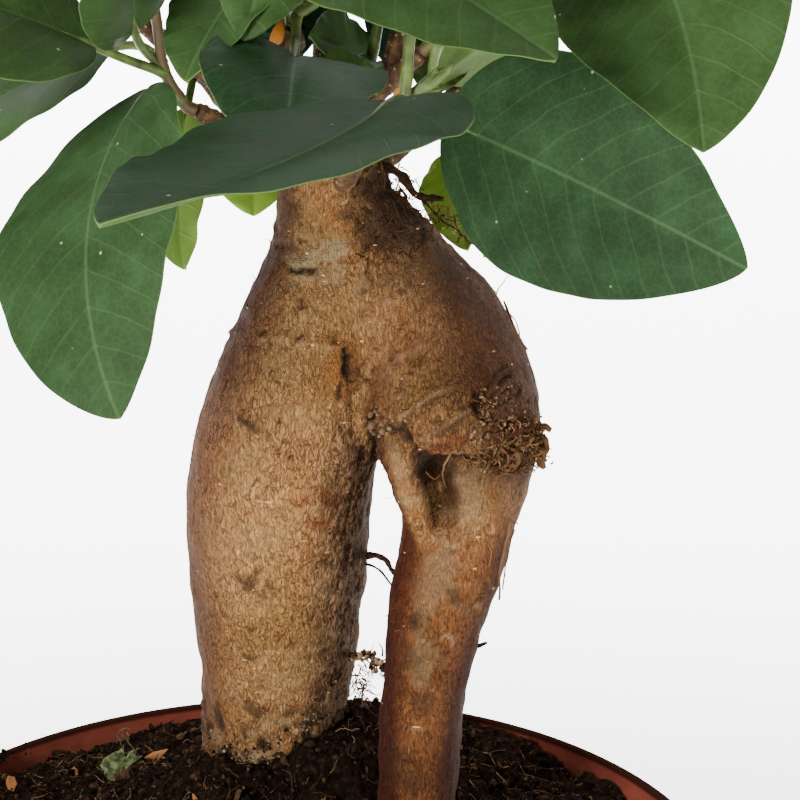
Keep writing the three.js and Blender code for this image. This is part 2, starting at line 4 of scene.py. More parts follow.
import bpy
import numpy as np
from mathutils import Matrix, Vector


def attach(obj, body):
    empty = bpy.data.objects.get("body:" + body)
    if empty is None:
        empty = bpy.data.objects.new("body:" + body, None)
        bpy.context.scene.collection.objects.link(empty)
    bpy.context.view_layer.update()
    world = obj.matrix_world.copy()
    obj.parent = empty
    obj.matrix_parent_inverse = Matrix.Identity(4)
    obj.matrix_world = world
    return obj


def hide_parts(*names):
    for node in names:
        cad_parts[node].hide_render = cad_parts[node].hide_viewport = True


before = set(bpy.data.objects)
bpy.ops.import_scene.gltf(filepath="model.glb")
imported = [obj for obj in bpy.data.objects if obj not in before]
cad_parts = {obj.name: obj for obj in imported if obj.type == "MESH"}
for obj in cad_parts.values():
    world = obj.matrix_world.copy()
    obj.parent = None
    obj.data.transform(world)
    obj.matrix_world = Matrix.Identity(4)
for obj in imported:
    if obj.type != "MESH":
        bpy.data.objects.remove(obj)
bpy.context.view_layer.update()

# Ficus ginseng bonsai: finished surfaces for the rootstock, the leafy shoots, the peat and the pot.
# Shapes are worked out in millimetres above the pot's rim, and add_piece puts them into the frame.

SEAT_GAP = 0.35

# Pot and peat
POT_HEIGHT = 122.0
RIM_RADIUS = 70.0
COLLAR_HEIGHT = 17.0
WALL_RADIUS_TOP = 64.8
BASE_RADIUS = 50.0
WALL = 1.6
FLOOR = 2.4
DRAIN_HOLES = 8
DRAIN_RADIUS = 3.5
DRAIN_CIRCLE = 36.0
FLOOR_MIDDLE = 24.0
# Steps round a drain hole: along the wall, round the plain middle of the floor and up each straight side
WALL_STEPS = 32
MIDDLE_STEPS = 12
SIDE_STEPS = 8
SOIL_BELOW_RIM = 4.0
# Heaps of peat: centre, rise and reach; then a last handful pushed in between the legs, and some on the rim
HEAPS = [((1, 24), 15, 24), ((10, 54), 4.5, 26), ((-60, 28), 5, 12)]
HANDFULS = [((9, 17), 5.5, 8), ((14, 30), 3, 9), ((24, 58), 1.5, 12), ((-12.6, 21.5), 4.4, 5)]
SPILL = ((-57, 34), 1.6, 9)

# Legs: height, centre x, centre y, half width in x, half width in y
LEFT_LEG = [
    [-64, -7, 31, 2, 2], [-30, -6, 29.5, 7, 7], [4, -5, 28, 9.5, 9.5], [18, -2.5, 27, 11.8, 11.2],
    [38, -1.5, 23, 13.8, 13], [58, -0.5, 19, 14.6, 14], [75, 3.3, 18, 14.2, 14.4], [88, 7, 18, 12.7, 13],
    [96, 8.2, 18, 10.1, 11], [104, 8.4, 18, 8.5, 9], [112, 8, 18, 7.2, 7.6], [116, 7.8, 18, 3.5, 3.5],
]
RIGHT_LEG = [
    [-58, 19, 1, 2, 2], [-25, 20, 2.3, 5, 5], [8, 20.8, 4, 5.9, 6.2], [24, 21.7, 6, 6.6, 6.8],
    [35, 23.1, 8, 7, 7.2], [45, 25.4, 9.8, 8.3, 8.6], [53, 27.2, 11.5, 8.8, 9.3], [60, 28.2, 13, 10, 10.2],
    [68, 27.3, 14.5, 12.5, 12.6], [78, 24.7, 16, 14, 14], [88, 20.8, 17, 13.4, 13],
    [96, 16.8, 17.5, 10.9, 10.6], [103, 12.5, 18, 8, 8], [107, 10, 18, 4, 4],
]
BELLY = ([25.5, 11.5, 74], [13, 12.5, 9.5])
KNOT = ([34.4, 9.5, 69.5], [4.8, 5, 5.8])
POCKET = ([23.6, 2.6, 60.5], [3.4, 5, 5])
STRUT = [[17.4, 6, 72.5], [18.3, 3.6, 68.5], [19.6, 3.6, 63.5], [22.6, 6.5, 52.5]]
STRUT_RADII = [2.8, 2.8, 2.5, 1.9]
# The narrow top of the gap between the legs: pixels that look through it, with the half width there
GAP_TOP = [((376.5, 455), 0.3), ((377.5, 463), 0.55), ((380, 472), 0.8)]

# Crown
LEAF_LENGTH = 47.0
LEAF_SLENDERNESS = 0.63
TIP_FULLNESS = 0.03
PETIOLE_LENGTH = 11.0
PETIOLE_RADIUS = 0.75
SHOOT_RADIUS = 1.0
LEAF_CLEARANCE = 4.5
PETIOLE_CLEARANCE = 3.4
LEAVES_A_SHOOT = 7
SPIRAL_TURN = 2.4
CROWN_CENTRE = np.array([8.0, 14.0, 138.0])
CROWN_RADIUS = 92.0
SKIRT_HEIGHT = 137.0
SKIRT_SLOPE = 0.1


# Numbers

class Draws:
    """Random numbers that every run repeats: each seed is 48271 times the last, less whole 2147483647s."""

    def __init__(self, seed):
        self.seed = seed

    def __call__(self, low, high):
        self.seed = (self.seed * 48271) % 2147483647
        return low + (high - low) * (self.seed / 2147483647)


def unit(vectors):
    """Each vector over its own length."""
    return vectors / np.maximum(np.linalg.norm(vectors, axis=-1, keepdims=True), 1e-12)


def ease(low, high, value):
    """0 below low, 1 above high and smooth between them."""
    t = np.clip((value - low) / (high - low), 0, 1)
    return t * t * (3 - 2 * t)


def noise(points, size, seed=0):
    """Smooth noise from -1 to 1: a value for each corner of a cubic lattice of `size` mm, eased between
    corners."""
    place = np.asarray(points, float) / size
    cell = np.floor(place).astype(np.int64)
    share = place - cell
    share = share * share * (3 - 2 * share)
    total = np.zeros(place.shape[:-1])
    for corner in np.ndindex(2, 2, 2):
        at = cell + corner
        key = (at[..., 0] * 73856093) ^ (at[..., 1] * 19349663) ^ (at[..., 2] * 83492791) ^ (seed * 668265263)
        key = (key ^ (key >> 13)) * 1274126177 & 0x7FFFFFFF
        value = ((key ^ (key >> 16)) & 0xFFFF) / 32767.5 - 1
        total += value * np.prod(np.where(corner, share, 1 - share), axis=-1)
    return total


def drift(points, size, seed):
    """A shift of each point in x, y and z: three fields of noise, with seeds one apart."""
    return np.stack([noise(points, size, seed + k) for k in range(3)], -1)


def cubic(knots, place):
    """Points at places counted in knots from the second: a cubic between neighbours, parallel at each knot to
    the line between the knots on either side."""
    i = np.minimum(np.floor(place).astype(int), len(knots) - 4)
    s = (place - i)[:, None]
    a, b, c, d = (knots[i + j] for j in range(4))
    leave, arrive = (c - a) / 2, (d - b) / 2
    return b + s * (leave + s * (3 * (c - b) - 2 * leave - arrive + s * (2 * (b - c) + leave + arrive)))


def smooth_curve(knots, shares):
    """Points at shares of the cubics through the knots. Each end heads straight for the knot next to it."""
    k = np.asarray(knots, float)
    k = np.vstack([2 * k[0] - k[1], k, 2 * k[-1] - k[-2]])
    return cubic(k, np.atleast_1d(shares) * (len(k) - 3))


def curve_direction(knots, share):
    """The way the curve runs at a share of it: from a little before to a little after."""
    ends = np.clip([share - 1e-4, share + 1e-4], 0, 1)
    before, after = smooth_curve(knots, ends)
    return unit(after - before)


def compass(angle):
    """The level direction at each angle: its cosine in x and its sine in y."""
    return np.stack([np.cos(angle), np.sin(angle)], -1)


# Meshes

def add_piece(name, points, faces, finish, slot, stands_for=(), smooth=True, **values):
    """A mesh of points in millimetres above the rim and of arrays of faces, one array for each number of
    corners. Each keyword after `smooth` is a value for every point, kept as an attribute for the finish."""
    mesh = bpy.data.meshes.new(name)
    places = (np.asarray(points, float) + [0, 0, POT_HEIGHT]) / 1000
    faces = [np.asarray(f) for f in faces if len(f)]
    corners = np.concatenate([f.ravel() for f in faces])
    sizes = np.concatenate([np.full(len(f), f.shape[1]) for f in faces])
    mesh.vertices.add(len(places))
    mesh.vertices.foreach_set("co", places.astype(np.float32).ravel())
    mesh.loops.add(len(corners))
    mesh.loops.foreach_set("vertex_index", corners.astype(np.int32))
    mesh.polygons.add(len(sizes))
    mesh.polygons.foreach_set("loop_start", np.concatenate([[0], np.cumsum(sizes)[:-1]]).astype(np.int32))
    mesh.polygons.foreach_set("use_smooth", np.full(len(sizes), smooth))
    mesh.update(calc_edges=True)
    for key, value in values.items():
        layer = mesh.attributes.new(key, "FLOAT", "POINT")
        layer.data.foreach_set("value", np.broadcast_to(value, len(places)).astype(np.float32))
    mesh.materials.append(finish)
    piece = bpy.data.objects.new(name, mesh)
    bpy.context.scene.collection.objects.link(piece)
    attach(piece, "root")
    if stands_for:
        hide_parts(*stands_for)
    return piece


def grid_faces(rows, columns, closed=False, start=0):
    """Quads between the rows of a grid; closed joins each row's last point to its first."""
    row = np.arange(rows - 1)[:, None] * columns + start
    column = np.arange(columns if closed else columns - 1)[None]
    after = (column + 1) % columns
    a, b = row + column, row + after
    return np.stack([a, b, b + columns, a + columns], -1).reshape(-1, 4)


def tubes(paths, radii, sides):
    """Tubes along paths of shape (tubes, steps, 3): a ring of points at each step, square to the path and
    turned to the plane that the path bends in. Gives points, side faces and the two end faces."""
    paths = np.asarray(paths, float)
    count, steps, _ = paths.shape
    radii = np.broadcast_to(np.asarray(radii, float), (count, steps))
    along = unit(np.gradient(paths, axis=1))
    chord = paths[:, -1] - paths[:, 0]
    plane = np.cross(paths[:, steps // 2] - paths[:, 0], chord)
    other = np.cross(chord, np.where(np.abs(unit(chord)[:, 2:]) < 0.9, [[0.0, 0, 1]], [[1.0, 0, 0]]))
    flat = np.linalg.norm(plane, axis=1) < 0.02 * (chord**2).sum(1)
    side = np.where(flat[:, None], other, plane)[:, None]
    side = unit(side - (side * along).sum(-1, keepdims=True) * along)
    up = np.cross(along, side)
    angle = 2 * np.pi * np.arange(sides) / sides
    ring = side[:, :, None] * np.cos(angle)[:, None] + up[:, :, None] * np.sin(angle)[:, None]
    points = paths[:, :, None] + radii[:, :, None, None] * ring
    one = grid_faces(steps, sides, closed=True)
    first = np.arange(count)[:, None, None] * steps * sides
    caps = np.stack([np.arange(sides)[::-1], (steps - 1) * sides + np.arange(sides)])
    return points.reshape(-1, 3), (first + one).reshape(-1, 4), (first + caps).reshape(-1, sides)


def tubes_together(parts):
    """Joins the results of several calls to tubes into one list of points and one of faces."""
    points, faces, start = [], [], 0
    for part, *kinds in parts:
        points.append(part)
        faces.extend(kind + start for kind in kinds)
        start += len(part)
    return np.vstack(points), faces


# Finishes

# Settings that many nodes share: a mix of two colours, and a range that is mapped with eased ends
COLOURS = {"data_type": "RGBA"}
EASED = {"interpolation_type": "SMOOTHSTEP"}


def linear(hex_colour):
    """An sRGB hex colour as the linear colour that shaders use."""
    value = np.array([int(hex_colour[i : i + 2], 16) for i in (1, 3, 5)]) / 255
    value = np.where(value <= 0.04045, value / 12.92, ((value + 0.055) / 1.055) ** 2.4)
    return (*value.tolist(), 1.0)


def add_node(tree, kind, inputs=(), output=None, stops=None, **settings):
    """Adds a node with its settings and gives one of its outputs, the first in use unless another is named.
    Inputs are a list for the sockets in use, in their order, or a dict by name. Each is a value, a hex colour
    or a socket to link. Stops are a colour ramp's hex colours by their shares."""
    node = tree.nodes.new("ShaderNode" + kind)
    for key, value in settings.items():
        setattr(node, key, value)
    for index, (share, colour) in enumerate((stops or {}).items()):
        ramp = node.color_ramp.elements
        stop = ramp[index] if index < 2 else ramp.new(share)
        stop.position = share
        stop.color = linear(colour)
    sockets = [socket for socket in node.inputs if socket.enabled]
    if isinstance(inputs, dict):
        sockets = [node.inputs[name] for name in inputs]
        inputs = inputs.values()
    for socket, value in zip(sockets, inputs):
        if isinstance(value, bpy.types.NodeSocket):
            tree.links.new(value, socket)
        else:
            socket.default_value = linear(value) if isinstance(value, str) else value
    outputs = {socket.name: socket for socket in node.outputs if socket.enabled}
    return outputs[output] if output else next(iter(outputs.values()), None)


def new_finish(name):
    """A material with no nodes yet, and the function that adds a node to it."""
    finish = bpy.data.materials.new(name)
    finish.use_nodes = True
    finish.node_tree.nodes.clear()
    return finish, partial(add_node, finish.node_tree)


def millimetres(add, stretch=(1, 1, 1)):
    """Object coordinates in millimetres, divided by the stretch, so that a pattern gets that much longer."""
    place = add("TexCoord", output="Object")
    return add("VectorMath", [place, [1000 / s for s in stretch]], operation="MULTIPLY")


def bark_finish():
    """Living ficus bark: thin, corky and matte. The eye sees tan flakes under a millimetre wide, taller than
    they are wide, with dark brown cracks between them, and slow changes from ochre to olive and red-brown."""
    finish, add = new_finish("living_ficus_bark")
    place = millimetres(add)
    # Everything finer than the patches is bent by up to 0.8 mm and drawn out upwards
    bend = add("TexNoise", [place, 1 / 2.0, 2.0], output="Color")
    bend = add("VectorMath", [bend, [0.5, 0.5, 0.5]], operation="SUBTRACT")
    bend = add("VectorMath", [bend, 2 * 0.8], operation="SCALE")
    bent = add("VectorMath", [place, bend], operation="ADD")
    upright = add("VectorMath", [bent, [1, 1, 0.42]], operation="MULTIPLY")
    fibres = add("VectorMath", [bent, [1, 1, 0.22]], operation="MULTIPLY")
    patches = add("TexNoise", [place, 1 / 9, 4, 0.6])
    mottle = add("TexNoise", [upright, 1 / 0.45, 5, 0.75])
    fine = add("TexNoise", [upright, 1 / 0.2, 4, 0.75])
    strand = add("TexNoise", [fibres, 1 / 0.4, 4, 0.7])
    # Cracks run between cells, 17 of them in 10 mm
    gap = add("TexVoronoi", [fibres, 17 / 10], feature="DISTANCE_TO_EDGE")
    share = add("Math", [strand, 0.45], operation="MULTIPLY")
    share = add("Math", [mottle, 0.55, share], operation="MULTIPLY_ADD")
    flakes = {0.4: "#5c381c", 0.46: "#98683c", 0.5: "#b07d4a", 0.54: "#c8965d", 0.61: "#e4bb87"}
    hues = {0.3: "#8a7a48", 0.43: "#b58b55", 0.56: "#c48d4e", 0.7: "#a86536"}
    torn = {0.42: "#2a180d", 0.47: "#5e3c21", 0.52: "#926a43", 0.58: "#cda274"}
    colour = add("ValToRGB", [share], stops=flakes)
    crack = add("MapRange", [gap, 0.02, 0.12, 1, 0], **EASED)
    clear = add("MapRange", [patches, 0.36, 0.56, 0.25, 0.7], **EASED)
    for share, over in (
        (0.3, add("ValToRGB", [patches], stops=hues)),
        (add("Math", [crack, clear], operation="MULTIPLY"), "#3f2616"),
        (add("MapRange", [fine, 0.57, 0.69, 0, 0.6], **EASED), "#3f2616"),
        # pale specks on the tops of the fine relief: painted glints
        (add("MapRange", [fine, 0.43, 0.33, 0, 0.4], **EASED), "#dcb788"),
    ):
        colour = add("Mix", [share, colour, over], **COLOURS)
    # Tones of the marks and of painted shade, one over another: some hide the bark below them and some are
    # multiplied with it
    grit = add("MapRange", [fine, 0.4, 0.6, 0, 1], **EASED)
    soft_grit = add("MapRange", [fine, 0.35, 0.65, 0, 1], **EASED)
    for name, blend, over in (
        ("cracks", "MIX", add("ValToRGB", [strand], stops=torn)),
        ("red", "MULTIPLY", "#d38d5e"),
        ("green", "MULTIPLY", "#b9b873"),
        ("grey", "MIX", add("Mix", [grit, "#8a7450", "#cdb78c"], **COLOURS)),
        # pale: paler bark, and painted highlight on the ridge crests of the side that faces the gap
        ("pale", "MIX", add("Mix", [mottle, "#a87c50", "#dfb78a"], **COLOURS)),
        ("orange", "MIX", add("Mix", [grit, "#c07c3c", "#60300f"], **COLOURS)),
        # deep: painted shade, multiplied over the bark
        ("deep", "MULTIPLY", "#725643"),
        # dark: darker bark, and painted shade in grooves, clefts, the pocket and the hollow, with painted
        # shadow on the neck
        ("dark", "MIX", add("Mix", [soft_grit, "#4a311e", "#0d0704"], **COLOURS)),
    ):
        share = add("Attribute", output="Fac", attribute_name=name)
        colour = add("Mix", [share, colour, over], blend_type=blend, **COLOURS)
    cracks = add("Attribute", output="Fac", attribute_name="cracks")
    torn_rise = add("Math", [cracks, 1.5], operation="MULTIPLY")
    height = add("MapRange", [gap, 0.0, 0.2, -0.3, 0], **EASED)
    for pattern, rise in ((mottle, 1.2), (fine, -0.7), (strand, torn_rise)):
        height = add("Math", [pattern, rise, height], operation="MULTIPLY_ADD")
    normal = add("Bump", {"Strength": 1.0, "Distance": 0.0011, "Height": height})
    surface = {"Base Color": colour, "Roughness": 0.75, "Normal": normal, "Specular IOR Level": 0.15}
    add("OutputMaterial", [add("BsdfPrincipled", surface)])
    return finish


def branch_finish():
    """Young ficus wood: smooth brown bark with pale dots of cork, half a millimetre wide."""
    finish, add = new_finish("young_ficus_bark")
    place = millimetres(add)
    tone = add("TexNoise", [place, 1 / 1.4, 4, 0.65])
    brown = add("ValToRGB", [tone], stops={0.3: "#1f150d", 0.5: "#402c1a", 0.7: "#664b2e"})
    dots = add("TexVoronoi", [place, 1 / 1.25])
    share = add("MapRange", [dots, 0.2, 0.1, 0, 0.6], **EASED)
    colour = add("Mix", [share, brown, "#b08f62"], **COLOURS)
    normal = add("Bump", {"Strength": 0.7, "Distance": 0.0003, "Height": tone})
    surface = {"Base Color": colour, "Roughness": 0.8, "Normal": normal, "Specular IOR Level": 0.2}
    add("OutputMaterial", [add("BsdfPrincipled", surface)])
    return finish


def leaf_finish():
    """Ficus leaf: a thick waxy blade, deep green and half glossy above, olive and duller below, with veins
    that hardly show. Light from behind shows through it a little."""
    finish, add = new_finish("waxy_ficus_leaf")
    place = millimetres(add)
    across, along, under, tint, margin = (
        add("Attribute", output="Fac", attribute_name=name)
        for name in ("across", "along", "under", "tint", "margin")
    )
    # Side veins, 5.2 mm apart, lag behind the midrib the further they are from it
    distance = add("Math", [across], operation="ABSOLUTE")
    square = add("Math", [distance, distance], operation="MULTIPLY")
    lag = add("TexNoise", [place, 1 / 9, 2, 0.55])
    lag = add("Math", [lag, 2.2], operation="MULTIPLY")
    for reach, share in ((square, 0.018), (distance, 0.62)):
        lag = add("Math", [reach, share, lag], operation="MULTIPLY_ADD")
    wave = add("Math", [along, lag], operation="SUBTRACT")
    wave = add("Math", [wave, 5.2], operation="DIVIDE")
    wave = add("Math", [wave, 0.5], operation="PINGPONG")
    vein = add("MapRange", [wave, 0.0, 0.07, 1, 0], **EASED)
    net = add("TexVoronoi", [place, 1 / 1.25], feature="DISTANCE_TO_EDGE")
    net = add("MapRange", [net, 0.0, 0.12, 0.03, 0], **EASED)
    fleck = add("TexVoronoi", [place, 1 / 5])
    mottle = add("TexNoise", [place, 1 / 6, 4, 0.6])
    fine = add("TexNoise", [place, 1 / 0.5, 3, 0.6])
    upper = {0.3: "#0a1d18", 0.5: "#0f281d", 0.72: "#153525"}
    lower = {0.3: "#27341a", 0.5: "#344423", 0.72: "#44562d"}
    colour = add("ValToRGB", [mottle], stops=upper)
    for share, over in (
        (under, add("ValToRGB", [mottle], stops=lower)),
        (tint, add("Mix", [mottle, "#6c9430", "#a0bd52"], **COLOURS)),
        (net, "#7f9868"),
        (add("Math", [vein, 0.06], operation="MULTIPLY"), "#6f8a5c"),
        (add("MapRange", [distance, 0.08, 0.42, 0.14, 0], **EASED), "#6f8c5c"),
        # a pale rim at the margin: a paler edge with a painted highlight on it
        (add("MapRange", [margin, 0.985, 1.0, 0, 0.3], **EASED), "#6f8a4a"),
        (add("MapRange", [fleck, 0.06, 0.035, 0, 0.7], **EASED), "#a9b184"),
    ):
        colour = add("Mix", [share, colour, over], **COLOURS)
    height = add("Math", [vein, -0.2], operation="MULTIPLY")
    for pattern, rise in ((mottle, 0.8), (net, -1), (fine, 0.15)):
        height = add("Math", [pattern, rise, height], operation="MULTIPLY_ADD")
    normal = add("Bump", {"Strength": 0.5, "Distance": 0.0003, "Height": height})
    rough = add("MapRange", [mottle, 0.3, 0.7, 0.46, 0.56], **EASED)
    rough = add("Math", [under, 0.15, rough], operation="MULTIPLY_ADD")
    surface = {"Base Color": colour, "Roughness": rough, "Normal": normal, "Specular IOR Level": 0.04}
    shader = add("BsdfPrincipled", surface)
    glow = add("Mix", [0.5, colour, "#4f8a2c"], **COLOURS)
    glow = add("BsdfTranslucent", [glow])
    add("OutputMaterial", [add("MixShader", [0.08, shader, glow])])
    return finish


def stem_finish():
    """Green stems and leaf stalks: smooth and juicy, yellow-green, browner towards their foot."""
    finish, add = new_finish("green_ficus_stem")
    tone = add("TexNoise", [millimetres(add), 1 / 2.2, 3, 0.55])
    green = add("ValToRGB", [tone], stops={0.3: "#323f19", 0.55: "#4a5a24", 0.75: "#627538"})
    woody = add("Attribute", output="Fac", attribute_name="woody")
    colour = add("Mix", [woody, green, "#4b3a20"], **COLOURS)
    normal = add("Bump", {"Strength": 0.4, "Distance": 0.0003, "Height": tone})
    surface = {"Base Color": colour, "Roughness": 0.5, "Normal": normal, "Specular IOR Level": 0.3}
    add("OutputMaterial", [add("BsdfPrincipled", surface)])
    return finish


def pot_finish():
    """Injection-moulded polypropylene in terracotta: even red-brown, satin, with scuffs and dried peat marks,
    and dark with damp peat just under the rim."""
    finish, add = new_finish("terracotta_polypropylene")
    place = millimetres(add)
    cloud = add("TexNoise", [place, 1 / 14, 3, 0.55])
    smear = add("TexNoise", [place, 1 / 4.5, 4, 0.65])
    dust = add("TexNoise", [millimetres(add, (1, 1, 2.5)), 1 / 1.6, 5, 0.7])
    scuff = add("TexNoise", [millimetres(add, (2.5, 2.5, 0.6)), 1 / 0.6, 3, 0.7])
    height = add("SeparateXYZ", [place], output="Z")
    colour = add("ValToRGB", [cloud], stops={0.3: "#663127", 0.7: "#743a2e"})
    for pattern, low, high, most, over in (
        (smear, 0.45, 0.7, 0.3, "#4c241a"),
        (height, POT_HEIGHT - 1.1, POT_HEIGHT - 0.4, 0.95, "#1c100b"),
        (dust, 0.6, 0.78, 0.5, "#3f1d14"),
        (scuff, 0.66, 0.8, 0.3, "#a8705a"),
    ):
        share = add("MapRange", [pattern, low, high, 0, most], **EASED)
        colour = add("Mix", [share, colour, over], **COLOURS)
    normal = add("Bump", {"Strength": 0.25, "Distance": 0.0003, "Height": dust})
    rough = add("MapRange", [dust, 0.4, 0.7, 0.42, 0.6], **EASED)
    shine = add("MapRange", [height, POT_HEIGHT - 3, POT_HEIGHT - 1, 0.15, 0.0], **EASED)
    surface = {"Base Color": colour, "Roughness": rough, "Normal": normal, "Specular IOR Level": shine}
    add("OutputMaterial", [add("BsdfPrincipled", surface)])
    return finish


def peat_finish():
    """Moist sphagnum peat: nearly black crumbs with brown ones among them, matte."""
    finish, add = new_finish("moist_peat")
    crumb = add("TexNoise", [millimetres(add), 1 / 1.1, 6, 0.7])
    browns = {0.35: "#0e0a08", 0.52: "#1e1510", 0.66: "#32241a", 0.8: "#533d2b"}
    colour = add("ValToRGB", [crumb], stops=browns)
    normal = add("Bump", {"Strength": 1.0, "Distance": 0.0012, "Height": crumb})
    surface = {"Base Color": colour, "Roughness": 1.0, "Normal": normal, "Specular IOR Level": 0.0}
    add("OutputMaterial", [add("BsdfPrincipled", surface)])
    return finish


def litter_finish(name, dark, light):
    """Loose bits of bark, fibre and husk: each bit has its own shade between dark and light, and is dull."""
    finish, add = new_finish(name)
    shade = add("Attribute", output="Fac", attribute_name="shade")
    tone = add("TexNoise", [millimetres(add), 1 / 0.8, 3, 0.6])
    share = add("Math", [tone, 0.5], operation="SUBTRACT")
    share = add("Math", [share, 0.5, shade], operation="MULTIPLY_ADD")
    colour = add("ValToRGB", [share], stops={0.0: dark, 1.0: light})
    normal = add("Bump", {"Strength": 0.5, "Distance": 0.0004, "Height": tone})
    surface = {"Base Color": colour, "Roughness": 0.95, "Normal": normal, "Specular IOR Level": 0.02}
    add("OutputMaterial", [add("BsdfPrincipled", surface)])
    return finish


def scrap_finish():
    """A withered leaf: grey-green, dull and brittle, in patches about a millimetre wide."""
    finish, add = new_finish("withered_leaf")
    tone = add("TexNoise", [millimetres(add), 1 / 1.3, 4, 0.6])
    colour = add("ValToRGB", [tone], stops={0.34: "#2c3520", 0.5: "#474f2f", 0.66: "#747755"})
    normal = add("Bump", {"Strength": 0.8, "Distance": 0.0005, "Height": tone})
    surface = {"Base Color": colour, "Roughness": 0.8, "Normal": normal, "Specular IOR Level": 0.1}
    add("OutputMaterial", [add("BsdfPrincipled", surface)])
    return finish


# Camera: 100 mm lens, pitched down as in the photograph, whose pixels are looked up along its sight lines

CAMERA_PLACE = np.array([18.41, -315.49, 289.72 - POT_HEIGHT])
CAMERA_PITCH = math.radians(15.92)
LENS, SENSOR, IMAGE = 100.0, 36.0, 800


def add_camera():
    """The camera of the main view."""
    camera = bpy.data.objects.new("camera", bpy.data.cameras.new("camera"))
    camera.data.lens = LENS
    camera.data.sensor_width = SENSOR
    camera.data.clip_end = 50
    camera.location = (CAMERA_PLACE + [0, 0, POT_HEIGHT]) / 1000
    camera.rotation_euler = (math.pi / 2 - CAMERA_PITCH, 0, 0)
    bpy.context.scene.collection.objects.link(camera)
    bpy.context.scene.camera = camera


def sight_lines(pixels):
    """The directions from the camera to pixels of the photograph: each is the pixel's offset from the middle
    over the focal length, both in pixels, turned down by the pitch."""
    pixels = np.atleast_2d(np.asarray(pixels, float))
    focal = IMAGE * LENS / SENSOR
    right, up = (pixels[:, 0] - IMAGE / 2) / focal, (IMAGE / 2 - pixels[:, 1]) / focal
    rise, fall = math.sin(CAMERA_PITCH), math.cos(CAMERA_PITCH)
    return unit(np.stack([right, fall + up * rise, -rise + up * fall], -1))


def at_depth(pixel, y):
    """The place at y that is seen at a pixel."""
    line = sight_lines(pixel)[0]
    return CAMERA_PLACE + line * (y - CAMERA_PLACE[1]) / line[1]


# Rootstock

def leg_table(stack):
    """The stations of a leg, with cubics between them, at 40 steps from each to the next."""
    k = np.asarray(stack, float)
    last = len(stack) - 1
    return cubic(np.vstack([k[0], k, k[-1]]), np.linspace(0, last, 40 * last + 1))


def leg_depth(table, x, y, z):
    """Distance outside a leg: at each height, the share of the ellipse's reach less one, over its slope."""
    cx, cy, rx, ry = (np.interp(z, table[:, 0], table[:, k]) for k in range(1, 5))
    qx, qy = (x - cx) / rx, (y - cy) / ry
    share = np.hypot(qx, qy)
    slope = np.hypot(qx / rx, qy / ry) + 1e-9
    return np.maximum(share * (share - 1) / slope, z - table[-1, 0])


def egg_depth(egg, x, y, z):
    """Distance outside an egg: the share of its reach less one, over its slope."""
    (cx, cy, cz), (rx, ry, rz) = egg
    qx, qy, qz = (x - cx) / rx, (y - cy) / ry, (z - cz) / rz
    share = np.sqrt(qx**2 + qy**2 + qz**2)
    slope = np.sqrt((qx / rx) ** 2 + (qy / ry) ** 2 + (qz / rz) ** 2) + 1e-9
    return share * (share - 1) / slope


def rod_depth(knots, radii, x, y, z, count=24):
    """Distance outside a rod along a curve, its radius going evenly from the first to the last."""
    shares = np.linspace(0, 1, count)
    depth = np.inf
    for (cx, cy, cz), share in zip(smooth_curve(knots, shares), shares):
        radius = np.interp(share, np.linspace(0, 1, len(radii)), radii)
        depth = np.minimum(depth, np.sqrt((x - cx) ** 2 + (y - cy) ** 2 + (z - cz) ** 2) - radius)
    return depth


def grow_together(a, b, reach):
    """The lesser of two depths, rounded where they meet within `reach` mm."""
    overlap = np.maximum(reach - np.abs(a - b), 0) / reach
    return np.minimum(a, b) - overlap**2 * reach / 4


def rootstock_depth(x, y, z):
    """Distance outside the two legs, the belly, the knot and the strut, grown together, less the pocket."""
    left = leg_depth(leg_table(LEFT_LEG), x, y, z)
    right = leg_depth(leg_table(RIGHT_LEG), x, y, z)
    body = grow_together(left, right, 3)
    body = grow_together(body, egg_depth(BELLY, x, y, z), 3.5)
    body = -grow_together(-body, egg_depth(POCKET, x, y, z), 3)
    body = grow_together(body, egg_depth(KNOT, x, y, z), 3)
    body = grow_together(body, rod_depth(STRUT, STRUT_RADII, x, y, z), 0.8)
    for line, radius in zip(sight_lines([pixel for pixel, _ in GAP_TOP]), [radius for _, radius in GAP_TOP]):
        ahead = [x - CAMERA_PLACE[0], y - CAMERA_PLACE[1], z - CAMERA_PLACE[2]]
        along = sum(a * b for a, b in zip(ahead, line))
        body = np.maximum(body, radius - np.sqrt(sum(a * a for a in ahead) - along**2))
    return body


